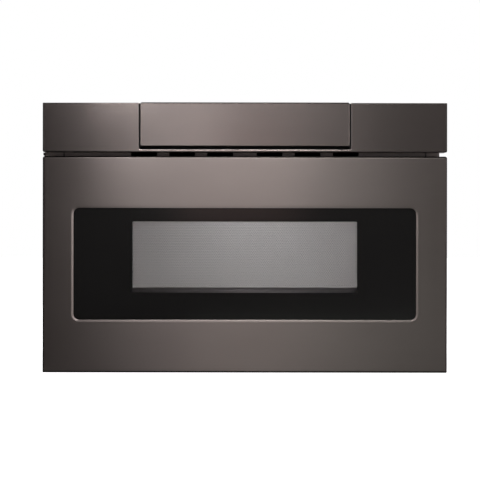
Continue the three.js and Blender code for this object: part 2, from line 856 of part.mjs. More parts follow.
// Fixed pocket behind the strip, with an ear for each hinge pin.
function controlPocket() {
  const back = chassisFront + pocketDepth;
  const heights = [notchBottom + pocketRise, chassisTop - sheet - seat];
  const floor = slab(both(pocketHalf), [chassisFront, back], from(heights[0], pocketWall));
  const rear = slab(both(pocketHalf), [back - pocketWall, back], heights);
  const sides = [-1, 1].flatMap((side) => {
    const wall = onSide(side, earFace, pocketHalf);
    const arm = rectangle([hingeBack, chassisFront + pocketWall], about(hingeLevel, 2 * earRadius));
    const nose = rodX(earRadius, wall, 20).translate(0, hingeBack, hingeLevel);
    const flange = onSide(side, earFace, pocketHalf + 7 * pocketWall);
    return [
      slab(wall, [chassisFront, back], heights),
      common(join(alongX(arm, wall), nose), slab(wall, [notchReturn + housingClearance, back], heights)),
      slab(flange, from(chassisFront, pocketWall), heights),
    ];
  });
  const bore = rodX(hingePinRadius + shaftClearance, both(pocketHalf + sheet), 20);
  return cut(join(floor, rear, ...sides), bore.translate(0, hingeBack, hingeLevel));
}

// Fixed front.

// Stainless strip over the drawer, notched for the control unit.
function topStrip() {
  const face = polygon([
    [-halfFront, stripBottom],
    [halfFront, stripBottom],
    [halfFront, frontHeight],
    [notchHalf, frontHeight],
    [notchHalf, notchBottom],
    [-notchHalf, notchBottom],
    [-notchHalf, frontHeight],
    [-halfFront, frontHeight],
  ]);
  const returns = [-1, 1].flatMap((side) => {
    const shoulder = onSide(side, notchHalf, halfFront);
    const run = [0, stripDepth];
    return [
      slab(shoulder, run, [frontHeight - sheet, frontHeight]),
      slab(onSide(side, halfFront - sheet, halfFront), run, [stripBottom, frontHeight]),
      slab(onSide(side, notchHalf, notchHalf + sheet), [0, notchReturn], [notchBottom, frontHeight]),
      slab(shoulder, [stripDepth - sheet, stripDepth], [frontHeight - stripFlange, frontHeight]),
    ];
  });
  const underside = slab(both(halfFront), [0, stripDepth], from(stripBottom, sheet));
  return join(alongY(face, [0, sheet]), underside, ...returns);
}

// Plate round the cavity mouth, with the vents that show over the drawer.
function frontFrame() {
  const plate = rectangle(both(frameHalf), [bottomOverhang, frameTop]);
  plate.holes.push(rectangle(both(cavityWidth / 2), [cavityFloor, cavityCeiling], 2 * ventSlotCorner));
  for (const side of [-1, 1]) {
    for (const place of slotPlaces) {
      const across = onSide(side, place, place + ventSlotWidth);
      plate.holes.push(rectangle(across, [ventLow, ventHigh], ventSlotCorner));
    }
  }
  const through = grown([frameFace, overlayDepth], sheet);
  const bayHeights = grown(bracketHeights, 3 * sheet);
  const bays = [
    slab([-halfChassis, -bracketFace + 3 * sheet], through, bayHeights),
    slab([rackOuter - rackWidth - 3 * sheet, halfChassis], through, bayHeights),
  ];
  const latchHoles = [-1, 1].map((side) =>
    slab(onSide(side, ...about(latchPlace, latchWidth + 2 * latchClearance)), through, latchBay),
  );
  const notch = slab(both(pocketHalf + 1.5 * sheet), through, [notchBottom + pocketRise / 2, frontHeight]);
  // Side returns stiffen the plate above the slides.
  const returns = [-1, 1].map((side) =>
    slab(
      onSide(side, frameHalf - sheet, frameHalf),
      from(frameFace, baseEdge),
      [bayHeights[1] + 6 * sheet, chassisTop - topOverhang],
    ),
  );
  return join(cut(alongY(plate, [frameFace, overlayDepth]), notch, ...bays, ...latchHoles), ...returns);
}

const flangeHeights = [bottomOverhang + 2 * sheet, chassisTop];

// Angle outside the chassis: its front leg is screwed to the cabinet face.
function mountingFlange(side) {
  const outer = side < 0 ? halfFront - wideFlangeMargin : flangeOuter;
  const face = rectangle(onSide(side, frameHalf + seat, outer), flangeHeights);
  const screwLine = side * (flangeOuter - 3 * flangeHole);
  const holes = [0.12, 0.5, 0.88].map((share) => {
    const hole = new THREE.Path();
    hole.absarc(screwLine, THREE.MathUtils.lerp(...flangeHeights, share), flangeHole, 0, 2 * Math.PI);
    return hole;
  });
  const legFace = halfChassis + seat;
  const leg = slab(
    onSide(side, legFace, legFace + frameSheet),
    [frameFace, overlayDepth + flangeLeg],
    flangeHeights,
  );
  return join(alongY(pierced(face, ...holes), [frameFace, overlayDepth], 6), leg);
}

// Chassis.

// Tray with turned-up edges and pressed stiffening ribs.
function basePlate() {
  const half = halfChassis - sheet - seat;
  const run = [chassisFront, wrapBack];
  const tray = cut(
    slab(both(half), run, from(bottomOverhang, baseEdge)),
    slab(both(half - frameSheet), grown(run, -frameSheet), from(baseTop, baseEdge)),
  );
  const ribRun = [wellY - wellRadius, wellY + wellRadius + ribPitch];
  const hats = [];
  const grooves = [];
  for (const x of [-2, -1, 1, 2].map((i) => i * ribPitch)) {
    const section = (height, width) =>
      polygon([
        [x - width / 2, bottomOverhang],
        [x + width / 2, bottomOverhang],
        [x + width / 2 - ribHeight, bottomOverhang + height],
        [x - width / 2 + ribHeight, bottomOverhang + height],
      ]);
    hats.push(alongY(section(ribHeight + frameSheet, ribWidth), ribRun));
    grooves.push(alongY(section(ribHeight, ribWidth - 2 * frameSheet), grown(ribRun, -frameSheet)));
  }
  return cut(join(tray, ...hats), ...grooves);
}

const sideLouvre = { count: 8, pitch: 12, width: 4, height: 40, rise: 52, back: 130, lift: 38 };
const rearLouvre = { count: 6, pitch: 18, width: 8, height: 44, rise: 50, corner: 3 };
const topLouvre = { count: 8, pitch: 26, width: 12, height: 30, corner: 3 };

// Top and sides, bent from one sheet, with louvres beside the magnetron.
function outerWrap() {
  const run = [chassisFront, wrapBack];
  const inner = halfChassis - sheet;
  const bent = cut(
    slab(both(halfChassis), run, [standing, chassisTop]),
    slab(both(inner), grown(run, sheet), [standing - sheet, chassisTop - sheet]),
  );
  const relief = slab(
    both(pocketHalf + 2 * pocketWall),
    [0, chassisFront + topRelief],
    [chassisTop - 2 * sheet, chassisTop + sheet],
  );
  const { count, pitch, width, height, rise, back, lift } = sideLouvre;
  const columns = [wrapBack - back, pitch, width];
  const rows = [cavityFloor + lift, rise, height];
  const slots = [-1, 1].flatMap((side) =>
    grid(count, columns, 2, rows, (y, z) => slab(onSide(side, inner - sheet, halfChassis + sheet), y, z)),
  );
  return cut(bent, relief, ...slots);
}

const shroudHalf = fanRadius + fanTipGap + shroudRim;
const fanLevel = standing + fanLift + shroudHalf;
const glandPlace = [glandInset - halfChassis, standing + glandLift];

function rearPanel() {
  const plate = rectangle(both(halfChassis), [bottomOverhang, chassisTop], 2 * sheet);
  const { count, pitch, width, height, rise, corner } = rearLouvre;
  const low = fanLevel - (rise + height) / 2;
  const left = fanPlace - ((count - 1) * pitch + width) / 2;
  const behindFan = grid(count, [left, pitch, width], 2, [low, rise, height], (x, z) =>
    rectangle(x, z, corner),
  );
  const topLeft = -((topLouvre.count - 1) * topLouvre.pitch + topLouvre.width) / 2;
  const upper = grid(
    topLouvre.count,
    [topLeft, topLouvre.pitch, topLouvre.width],
    1,
    [chassisTop - 2 * topLouvre.height, 0, topLouvre.height],
    (x, z) => rectangle(x, z, topLouvre.corner),
  );
  plate.holes.push(...behindFan, ...upper);
  const run = [rearFace - sheet, rearFace];
  const inlet = rodY(glandHole, grown(run, sheet), 20).translate(glandPlace[0], 0, glandPlace[1]);
  return cut(alongY(plate, run, 1), inlet);
}

// Strain relief gland in the rear panel, ready for a supply cord.
function cordGland() {
  const nutBack = rearFace - sheet - seat;
  const nutFront = nutBack - glandNut;
  const flange = rodY(glandFlange, [rearFace + seat, overallDepth], 24);
  const neck = rodY(glandHole - housingClearance, [nutFront, overallDepth - sheet], 20);
  const nut = rodY(glandFlange - sheet, [nutFront, nutBack], 6);
  const bore = rodY(glandBore, grown([nutFront, overallDepth], sheet), 20);
  return cut(join(flange, neck, nut), bore).translate([glandPlace[0], 0, glandPlace[1]]);
}

// Oven cavity and microwave feed.

const lampHoles = { columns: 5, rows: 3, pitch: 8, width: 4 };
const lampHoleStart = (count) => ((count - 1) * lampHoles.pitch + lampHoles.width) / 2;

function ovenCavity() {
  const half = cavityWidth / 2;
  const heights = [cavityFloor, cavityCeiling];
  const walls = [cavityFloor - floorFlange, cavityCeiling + sheet];
  const shell = cut(
    slab(both(half + sheet), [chassisFront, cavityBack + sheet], walls),
    slab(both(half), [0, cavityBack], [0, cavityCeiling]),
    slab(both(frontHeight), [cavityBack - sheet, rearFace], [0, cavityFloor - sheet]),
  );
  const flange = pierced(
    rectangle(both(half + cavityFlange), grown(heights, cavityFlange)),
    rectangle(both(half), heights),
  );
  const { columns, rows, pitch, width } = lampHoles;
  const lit = grid(
    columns,
    [chassisFront + lampPlace - lampHoleStart(columns), pitch, width],
    rows,
    [cavityCeiling - lampDrop - lampHoleStart(rows), pitch, width],
    (y, z) => slab(grown(from(-half, 0), 2 * sheet), y, z),
  );
  return cut(join(shell, alongY(flange, from(chassisFront, frameSheet))), ...lit);
}

// Floor plate with turned-down sides, spot-welded between the walls, over the feed.
function cavityFloorPlate() {
  const half = cavityWidth / 2 - seat;
  const run = [chassisFront + frameSheet + seat, cavityBack - seat];
  const folded = cut(
    slab(both(half), run, [cavityFloor - floorFlange, cavityFloor]),
    slab(both(half - sheet), grown(run, sheet), [0, cavityFloor - sheet]),
  );
  const feed = rodZ(wellRadius - feedMargin, grown(from(cavityFloor, 0), 2 * sheet), 32);
  return cut(folded, feed.translate(0, wellY, 0));
}

// Spun dish under the cavity floor, in which the stirrer turns.
function stirrerWell() {
  const hole = 2 * stirrerShaft;
  const outer = wellRadius + wellFlange;
  const profile = [
    [hole, wellBottom],
    [wellRadius, wellBottom],
    [wellRadius, wellTop - sheet],
    [outer, wellTop - sheet],
    [outer, wellTop],
    [wellRadius - sheet, wellTop],
    [wellRadius - sheet, wellBottom + sheet],
    [hole, wellBottom + sheet],
    [hole, wellBottom],
  ].map(([r, z]) => new THREE.Vector2(r, z));
  const dish = new THREE.LatheGeometry(profile, 32).rotateX(Math.PI / 2);
  const irisHeights = [wellBottom + feedMargin, wellTop - feedMargin];
  const iris = slab(both(guideWidth / 2 - 2 * guideWall), [0, 2 * wellRadius], irisHeights);
  return cut(dish, iris).translate([0, wellY, 0]);
}

// Four paddles with raised tips, about the stirrer's own axis.
function stirrerBlade() {
  const level = wellBottom + stirrerLift;
  const bend = stirrerRadius * 0.8;
  const hub = rodZ(stirrerHub, about(level, stirrerHub), 20);
  const shaft = rodZ(stirrerShaft, [wellBottom - stirrerReach, level], 12);
  const paddle = polygon([
    [0, level],
    [bend, level],
    [stirrerRadius, level + paddleRise],
    [stirrerRadius, level + paddleRise + frameSheet],
    [bend, level + frameSheet],
    [0, level + frameSheet],
  ]);
  const paddles = [0, 1, 2, 3].map((i) => alongX(paddle, both(paddleWidth / 2)).rotateZ((i * Math.PI) / 2));
  return join(hub, shaft, ...paddles);
}

function stirrerMotor() {
  const top = wellBottom - seat;
  const body = rodZ(stirrerMotorRadius, [top - stirrerMotorHeight, top], 28);
  const gear = slab(
    both(stirrerGear / 2),
    [-stirrerMotorRadius - stirrerHub, -stirrerMotorRadius / 2],
    [top - 0.8 * stirrerMotorHeight, top],
  );
  const bore = [top - 1.5 * stirrerReach, top + sheet];
  return cut(join(body, gear), rodZ(stirrerShaft + 2 * shaftClearance, bore, 12));
}

// Duct under the cavity, from the magnetron at the back to the stirrer well.
function waveguide() {
  const run = [wellY + wellRadius / 2, rearFace - magnetronBack + guideWall];
  const heights = [wellBottom, wellTop];
  const duct = cut(
    slab(both(guideWidth / 2), run, heights),
    slab(both(guideWidth / 2 - guideWall), [wellY, run[1] - guideWall], grown(heights, -guideWall)),
  );
  const well = rodZ(wellRadius + seat, grown(heights, sheet), 32);
  const flange = rodZ(wellRadius + wellFlange + seat, [wellTop - sheet - seat, wellTop + sheet], 32);
  return cut(duct, well.translate(0, wellY, 0), flange.translate(0, wellY, 0));
}

// Yoke, cooling fins and filter box, standing on the back end of the waveguide.
function magnetron() {
  const low = wellTop + seat;
  const run = [rearFace - magnetronBack - magnetronDepth, rearFace - magnetronBack];
  const wall = yokeWall;
  const heights = from(low, magnetronHeight);
  const yoke = cut(
    slab(both(magnetronWidth / 2), run, heights),
    slab(both(magnetronWidth / 2 - wall), grown(run, wall), grown(heights, -wall)),
  );
  const middle = (run[0] + run[1]) / 2;
  const anode = rodZ(anodeRadius, grown(heights, -wall / 2), 16).translate(0, middle, 0);
  const fins = [-2, -1, 0, 1, 2].map((i) => {
    const level = low + magnetronHeight / 2 + i * finPitch;
    return slab(both(magnetronWidth / 2 - wall / 2), grown(run, -2 * wall), from(level, frameSheet));
  });
  const filter = slab(
    both(magnetronWidth / 2 - 5 * wall),
    grown(run, -3 * wall),
    from(low + magnetronHeight - wall / 2, filterHeight),
  );
  return join(yoke, anode, ...fins, filter);
}

// Power parts at the back.

const capacitorPlace = halfChassis - powerMargin - capacitorWidth / 2;
const corePlace = capacitorPlace - capacitorWidth / 2 - capacitorGap - coreFoot - coreWidth / 2;
const rearBayMiddle = (cavityBack + rearFace) / 2;
const coreMiddle = [-corePlace, rearBayMiddle];
const coreLimb = coreWidth / 6;
const windowHeights = about(standing + coreHeight / 2, coreWindowHeight);

// Stack of laminations with two windows, on a mounting foot.
function transformerCore() {
  const windows = [-1, 1].map((side) =>
    slab(onSide(side, coreLimb, coreLimb + coreWindowWidth), both(coreDepth), windowHeights),
  );
  const block = slab(both(coreWidth / 2), both(coreDepth / 2), from(standing, coreHeight));
  const footHalf = coreWidth / 2 + coreFoot;
  const foot = slab(both(footHalf), both(coreDepth / 2 - coreFoot / 2), from(standing, 2 * sheet));
  return join(cut(block, ...windows), foot).translate([...coreMiddle, 0]);
}

// One of the two windings round the middle limb, as its share of the window's height.
function transformerCoil(layer) {
  const [low, high] = grown(windowHeights, -coilClearance);
  const height = (high - low - coilGap) / 2;
  const reach = coreWindowWidth - coilClearance;
  const ring = pierced(
    rectangle(both(coreLimb + reach), both(coreDepth / 2 + reach), 6),
    rectangle(both(coreLimb + coilClearance), both(coreDepth / 2 + coilClearance)),
  );
  return alongZ(ring, from(low + layer * (height + coilGap), height), 3).translate(...coreMiddle, 0);
}

// Oval can with two spade terminals.
function highVoltageCapacitor() {
  const outline = rectangle(both(capacitorWidth / 2), both(capacitorDepth / 2), capacitorDepth / 2 - sheet);
  const can = alongZ(outline, from(standing, capacitorHeight), 4);
  const terminals = [-1, 1].map((side) => {
    const x = about((side * capacitorWidth) / 6, terminalWidth);
    const top = standing + capacitorHeight;
    return slab(x, both(sheet / 2), [top - sheet, top + terminalHeight]);
  });
  return join(can, ...terminals).translate([-capacitorPlace, rearBayMiddle, 0]);
}

const shroudFront = rearFace - fanSetback - shroudDepth;

// Square shroud with a round throat, and spokes that carry the motor.
function fanShroud() {
  const run = [shroudFront, rearFace - fanSetback];
  const spokeRun = from(shroudFront, spokeDepth);
  const plate = slab(both(shroudHalf), run, [standing, fanLevel + shroudHalf]);
  const throat = rodY(fanRadius + fanTipGap, grown(run, sheet), 40).translate(0, 0, fanLevel);
  const spokes = [0, 60, 120].map((angle) =>
    slab(both(shroudHalf - shroudRim / 2), spokeRun, both(spokeWidth / 2))
      .rotateY(THREE.MathUtils.degToRad(angle))
      .translate(0, 0, fanLevel),
  );
  const hub = rodY(fanHub + spokeDepth, spokeRun, 24).translate(0, 0, fanLevel);
  const shaftHole = rodY(fanShaftRadius + 2 * shaftClearance, grown(spokeRun, sheet), 16);
  const shroud = join(cut(plate, throat), ...spokes, hub);
  return cut(shroud, shaftHole.translate(0, 0, fanLevel)).translate([fanPlace, 0, 0]);
}

const fanPlane = shroudFront + spokeDepth + seat + shroudDepth / 2;

// Impeller about its own axis: cambered blades on a hub, with the shaft towards the motor.
function fanImpeller() {
  const chord = shroudDepth * 1.15;
  const camber = chord / 6;
  const steps = 4;
  const line = Array.from({ length: steps + 1 }, (_, i) => {
    const t = i / steps - 0.5;
    return [t * chord, camber * (1 - 4 * t * t)];
  });
  const section = polygon([...line, ...line.map(([x, z]) => [x, z - bladeThickness]).reverse()]);
  const hubHalf = shroudDepth / 2 - spokeDepth;
  const blades = [];
  for (let i = 0; i < fanBlades; i += 1) {
    const blade = alongZ(section, [fanHub / 2, fanRadius * 1.2])
      .translate(0, -camber / 2, 0)
      .rotateZ(THREE.MathUtils.degToRad(-27))
      .rotateY((i * 2 * Math.PI) / fanBlades);
    blades.push(common(blade, rodY(fanRadius, both(shroudDepth), 42)));
  }
  const shaft = rodY(fanShaftRadius, [-shroudDepth / 2 - fanShaftReach, 0], 16);
  return join(rodY(fanHub, both(hubHalf), 24), shaft, ...blades);
}

function fanMotor() {
  const front = shroudFront - seat;
  const can = rodY(fanMotorRadius, [front - fanMotorLength, front], 28);
  const core = slab(
    both(fanMotorRadius * 1.2),
    [front - 0.8 * fanMotorLength, front - 0.25 * fanMotorLength],
    both(fanMotorRadius * 0.88),
  );
  const recess = rodY(fanShaftRadius + shaftClearance, [front - fanShaftReach, front + sheet], 16);
  return cut(join(can, core), recess).translate([fanPlace, 0, fanLevel]);
}

// Pieces over the cavity and beside it.

const boardSpanX = from(-cavityWidth / 2 - boardOverhang, boardWidth);
const boardSpanY = from(cavityBack - boardPlace - boardDepth, boardDepth);
const boardLevel = deckLevel + boardPost + seat;

// Plate with a post at each corner, which carries the power board over the cavity.
function boardTray() {
  const plate = slab(boardSpanX, boardSpanY, from(deckLevel, sheet));
  const posts = grown(boardSpanX, -postWidth).flatMap((x) =>
    grown(boardSpanY, -postWidth).map((y) =>
      slab(about(x, postWidth), about(y, postWidth), from(deckLevel, boardPost)),
    ),
  );
  return join(plate, ...posts);
}

const relay = { width: 20, depth: 16, height: 16, pitch: 26, count: 3 };
const heatSink = { width: 30, depth: 50, height: 26, base: 5, fin: 3, count: 4, inset: 38 };
const lowTransformer = { width: 42, depth: 36, height: 30, place: 60 };
const canCapacitor = { radius: 9, height: 28, pitch: 26, count: 2, inset: 40 };
const partMargin = 16; // parts inside the edge of the board

// Board with relays, a finned heat sink, capacitors and a small transformer.
function powerBoard() {
  const top = boardLevel + boardThickness;
  const [left, right] = grown(boardSpanX, -partMargin);
  const [front, back] = grown(boardSpanY, -partMargin);
  const row = (count, place) => Array.from({ length: count }, (_, i) => place(i));
  const mounted = (x, y, height) => slab(x, y, [top - sheet / 2, top + height]);
  const relays = row(relay.count, (i) =>
    mounted(from(left + i * relay.pitch, relay.width), from(front, relay.depth), relay.height),
  );
  const sinkX = right - heatSink.inset;
  const sinkY = [back - heatSink.depth, back];
  const finPitch = (heatSink.width - heatSink.fin) / (heatSink.count - 1);
  const fins = row(heatSink.count, (i) =>
    mounted(from(sinkX + i * finPitch, heatSink.fin), sinkY, heatSink.height),
  );
  const cans = row(canCapacitor.count, (i) =>
    rodZ(canCapacitor.radius, [top - sheet / 2, top + canCapacitor.height], 20).translate(
      left + partMargin + i * canCapacitor.pitch,
      back - canCapacitor.inset / 2,
      0,
    ),
  );
  const transformerY = from(front + lowTransformer.place, lowTransformer.depth);
  return join(
    slab(grown(boardSpanX, -2 * sheet), grown(boardSpanY, -2 * sheet), [boardLevel, top]),
    ...relays,
    mounted(from(sinkX, heatSink.width), sinkY, heatSink.base),
    ...fins,
    ...cans,
    mounted(from(left, lowTransformer.width), transformerY, lowTransformer.height),
  );
}

const cutout = { radius: 9, height: 7, ear: 15, earWidth: 8, tabPitch: 8, tabWidth: 6, tabHeight: 8 };

// Round thermostat with two screw ears and two spade tabs.
function thermalCutout() {
  const disc = rodZ(cutout.radius, from(deckLevel, cutout.height), 24);
  const ears = slab(both(cutout.ear), both(cutout.earWidth / 2), from(deckLevel, frameSheet));
  const tabs = both(cutout.tabPitch / 2).map((x) =>
    slab(
      about(x, frameSheet),
      both(cutout.tabWidth / 2),
      from(deckLevel + cutout.height - sheet, cutout.tabHeight),
    ),
  );
  return join(disc, ears, ...tabs).translate([cavityWidth / 4, cavityBack - boardDepth, 0]);
}

// Lamp house on the cavity's left wall, open towards its small holes.
function ovenLamp() {
  const face = -cavityWidth / 2 - sheet - seat;
  const depth = [face - lampDepth, face];
  const run = about(chassisFront + lampPlace, lampWidth);
  const level = cavityCeiling - lampDrop;
  const heights = about(level, lampHeight);
  const wall = 2 * sheet;
  const house = cut(
    slab(depth, run, heights),
    slab([depth[0] + wall, face + wall], grown(run, -wall), grown(heights, -wall)),
  );
  const middle = (depth[0] + depth[1]) / 2 + sheet;
  const socket = rodY(socketRadius, from(run[0] + sheet, socketLength), 20);
  const bulb = rodY(bulbRadius, from(run[0] + socketLength - sheet, bulbLength), 20);
  return join(house, socket.translate(middle, 0, level), bulb.translate(middle, 0, level));
}

// Flat duct from the top compartment to the vents, with a rib behind each post.
function ventDuct() {
  const half = slotPlaces[2] + ventSlotWidth + 2 * ductWall;
  const heights = [ventLow - ductDrop, ventHigh + ductWall];
  const run = from(chassisFront, ductLength);
  const tube = cut(
    slab(both(half), run, heights),
    slab(both(half - ductWall), grown(run, sheet), grown(heights, -ductWall)),
  );
  const postMiddle = (ventSlotPitch - ventSlotWidth) / 2;
  const posts = [0, ...slotPlaces.slice(1).flatMap((x) => [x - postMiddle, postMiddle - x])];
  return join(tube, ...posts.map((x) => slab(about(x, ductWall), run, grown(heights, -ductWall / 2))));
}

// Hooked head on the door's back that reaches into its interlock switch.
function latchHead(side) {
  const root = doorBack + seat;
  const tip = root + latchReach;
  const half = 1.5 * latchClearance;
  const hook = polygon([
    [root, latchLevel - half],
    [tip - half, latchLevel - latchClearance],
    [tip, latchLevel],
    [tip - 1.5 * half, latchLevel + half],
    [tip - 2 * half, latchLevel + half],
    [tip - 2 * half, latchLevel + half / 3],
    [root, latchLevel + half / 2],
  ]);
  return alongX(hook, onSide(side, ...about(latchPlace, latchWidth)));
}

function interlockSwitch(side) {
  const tunnelWidth = latchWidth + 2 * latchClearance;
  const body = slab(
    onSide(side, ...about(latchPlace, tunnelWidth + 2 * switchWall)),
    from(chassisFront, switchDepth),
    [latchBay[0] - sheet, latchBay[1] + switchWall],
  );
  const depth = [0, chassisFront + latchReach + latchClearance];
  const tunnel = slab(onSide(side, ...about(latchPlace, tunnelWidth)), depth, latchBay);
  return cut(body, tunnel);
}

// Assembly.

const appliance = new THREE.Group();
appliance.position.y = -overallDepth / 2;

function add(parent, name, shape, material, ...place) {
  const mesh = new THREE.Mesh(geometryOf(shape), material);
  mesh.name = name;
  if (place.length) mesh.position.set(...place);
  parent.add(mesh);
}

const chassis = new THREE.Group();
add(chassis, "base_plate", basePlate(), zincSteel);
add(chassis, "outer_wrap", outerWrap(), zincSteel);
add(chassis, "rear_panel", rearPanel(), zincSteel);
add(chassis, "cord_gland", cordGland(), darkPlastic);
add(chassis, "front_frame", frontFrame(), darkPaint);
add(chassis, "top_strip", topStrip(), blackSteel);
add(chassis, "control_pocket", controlPocket(), darkPlastic);
add(chassis, "vent_duct", ventDuct(), darkPlastic);
add(chassis, "oven_cavity", ovenCavity(), enamel);
add(chassis, "cavity_floor", cavityFloorPlate(), enamel);
add(chassis, "stirrer_well", stirrerWell(), enamel);
add(chassis, "stirrer_motor", stirrerMotor(), zincSteel, 0, wellY, 0);
add(chassis, "stirrer_blade", stirrerBlade(), aluminium, 0, wellY, 0);
add(chassis, "waveguide", waveguide(), aluminium);
add(chassis, "magnetron", magnetron(), aluminium);
add(chassis, "transformer_core", transformerCore(), zincSteel);
add(chassis, "primary_coil", transformerCoil(0), copper);
add(chassis, "secondary_coil", transformerCoil(1), copper);
add(chassis, "hv_capacitor", highVoltageCapacitor(), aluminium);
add(chassis, "fan_shroud", fanShroud(), darkPlastic);
add(chassis, "fan_motor", fanMotor(), zincSteel);
add(chassis, "fan_impeller", fanImpeller(), darkPlastic, fanPlace, fanPlane, fanLevel);
add(chassis, "board_tray", boardTray(), zincSteel);
add(chassis, "power_board", powerBoard(), circuitGreen);
add(chassis, "thermal_cutout", thermalCutout(), darkPlastic);
add(chassis, "oven_lamp", ovenLamp(), zincSteel);
add(chassis, "drive_gearbox", driveGearbox(), darkPlastic);
add(chassis, "drive_pinion", drivePinion(), acetal, 0, pinionPlace, pinionLevel);
add(chassis, "drive_motor", driveMotor(), zincSteel, 0, pinionPlace + 8, standing + motorRadius + 3);

const drawer = new THREE.Group();
add(drawer, "drawer_front", drawerFront(), blackSteel);
add(drawer, "window_glass", windowGlass(), blackGlass);
add(drawer, "door_frame", doorFrame(), darkPaint);
add(drawer, "door_screen", doorScreen(), screenSteel);
add(drawer, "inner_pane", innerPane(), clearGlass);
add(drawer, "choke_cover", chokeCover(), darkPlastic);
add(drawer, "drawer_box", drawerBox(), enamel);
add(drawer, "drawer_floor", drawerFloor(), ceramic);
add(drawer, "drive_rack", driveRack(), acetal);

for (const [side, hand] of [
  [-1, "left"],
  [1, "right"],
]) {
  add(chassis, `mounting_flange_${hand}`, mountingFlange(side), darkPaint);
  add(chassis, `rail_support_${hand}`, railSupport(side), zincSteel);
  add(chassis, `interlock_switch_${hand}`, interlockSwitch(side), darkPlastic);
  add(chassis, `slide_outer_${hand}`, outerSlide(side), zincSteel);
  add(chassis, `slide_middle_${hand}`, middleSlide(side), zincSteel);
  add(drawer, `slide_inner_${hand}`, innerSlide(side), zincSteel);
  add(drawer, `drawer_bracket_${hand}`, drawerBracket(side), zincSteel);
  add(drawer, `latch_head_${hand}`, latchHead(side), acetal);
}

const controlUnit = new THREE.Group();
controlUnit.position.set(0, hingeBack, hingeLevel);
add(controlUnit, "control_cover", controlCover(), blackSteel);
add(controlUnit, "control_housing", controlHousing(), darkPlastic);
add(controlUnit, "touch_glass", touchGlass(), blackGlass);
add(controlUnit, "control_board", controlBoard(), circuitGreen);

appliance.add(chassis, drawer, controlUnit);

export default appliance;
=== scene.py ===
# Microwave drawer: the looks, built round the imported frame. Metres, the front skin faces -Y.
import json
import math

import bmesh
import bpy
from mathutils import Matrix, Vector


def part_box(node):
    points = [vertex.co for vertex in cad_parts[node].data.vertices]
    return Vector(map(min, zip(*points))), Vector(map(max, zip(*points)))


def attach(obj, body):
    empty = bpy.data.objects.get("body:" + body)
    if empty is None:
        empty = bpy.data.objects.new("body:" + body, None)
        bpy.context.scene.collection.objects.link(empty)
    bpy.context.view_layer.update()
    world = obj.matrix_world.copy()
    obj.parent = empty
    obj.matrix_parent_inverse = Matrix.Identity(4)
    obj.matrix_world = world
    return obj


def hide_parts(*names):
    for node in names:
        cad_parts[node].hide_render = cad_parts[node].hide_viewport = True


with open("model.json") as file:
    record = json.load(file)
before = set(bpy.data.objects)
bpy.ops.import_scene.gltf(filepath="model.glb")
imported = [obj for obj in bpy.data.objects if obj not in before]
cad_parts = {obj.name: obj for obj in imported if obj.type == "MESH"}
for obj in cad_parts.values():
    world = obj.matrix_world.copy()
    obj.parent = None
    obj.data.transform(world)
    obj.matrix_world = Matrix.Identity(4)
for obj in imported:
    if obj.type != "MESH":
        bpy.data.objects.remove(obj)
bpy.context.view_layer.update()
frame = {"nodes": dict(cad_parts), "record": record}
nodes = frame["nodes"]
mm = 0.001
frontPlane = -294 * mm  # outer face of the stainless skin
print("frame loaded:", len(nodes), "nodes")


# Shader building blocks

def newFinish(name, colour, roughness, metallic=0.0):
    material = bpy.data.materials.new(name)
    material.use_nodes = True
    tree = material.node_tree
    surface = tree.nodes["Principled BSDF"]
    surface.inputs["Base Color"].default_value = (*colour, 1)
    surface.inputs["Roughness"].default_value = roughness
    surface.inputs["Metallic"].default_value = metallic
    return material, tree, surface


def objectCoords(tree, scale=(1, 1, 1)):
    place = tree.nodes.new("ShaderNodeTexCoord")
    mapping = tree.nodes.new("ShaderNodeMapping")
    mapping.inputs["Scale"].default_value = scale
    tree.links.new(place.outputs["Object"], mapping.inputs["Vector"])
    return mapping.outputs["Vector"]


def noise(tree, scale, stretch=(1, 1, 1), detail=3.0, rough=0.5):
    node = tree.nodes.new("ShaderNodeTexNoise")
    node.inputs["Scale"].default_value = scale
    node.inputs["Detail"].default_value = detail
    node.inputs["Roughness"].default_value = rough
    tree.links.new(objectCoords(tree, stretch), node.inputs["Vector"])
    return node.outputs["Fac"]


def waves(tree, scale, distortion=0.0):
    # Bands one above the other.
    node = tree.nodes.new("ShaderNodeTexWave")
    node.bands_direction = "Z"
    node.inputs["Scale"].default_value = scale
    node.inputs["Distortion"].default_value = distortion
    tree.links.new(objectCoords(tree), node.inputs["Vector"])
    return node.outputs["Fac"]


def spread(tree, value, low, high, start=0.0, end=1.0):
    node = tree.nodes.new("ShaderNodeMapRange")
    for key, number in (("From Min", start), ("From Max", end), ("To Min", low), ("To Max", high)):
        node.inputs[key].default_value = number
    tree.links.new(value, node.inputs["Value"])
    return node.outputs["Result"]


def blendColours(tree, factor, first, second):
    node = tree.nodes.new("ShaderNodeMix")
    node.data_type = "RGBA"
    tree.links.new(factor, node.inputs["Factor"])
    node.inputs["A"].default_value = (*first, 1)
    node.inputs["B"].default_value = (*second, 1)
    return node.outputs["Result"]


def maths(tree, kind, first, second=None):
    node = tree.nodes.new("ShaderNodeMath")
    node.operation = kind
    for place, value in enumerate((first, second)):
        if value is None:
            continue
        if isinstance(value, (int, float)):
            node.inputs[place].default_value = value
        else:
            tree.links.new(value, node.inputs[place])
    return node.outputs["Value"]


def sumOfShares(tree, values, shares):
    parts = [maths(tree, "MULTIPLY", value, share) for value, share in zip(values, shares)]
    return maths(tree, "ADD", *parts)


def bump(tree, surface, height, strength, distance):
    node = tree.nodes.new("ShaderNodeBump")
    node.inputs["Strength"].default_value = strength
    node.inputs["Distance"].default_value = distance
    tree.links.new(height, node.inputs["Height"])
    tree.links.new(node.outputs["Normal"], surface.inputs["Normal"])


def drive(tree, surface, socket, value):
    tree.links.new(value, surface.inputs[socket])


# Finishes. A roughness of three numbers is the plain value and the range of its texture,
# a relief is the strength and the depth of the bump, and textures are scaled per metre.

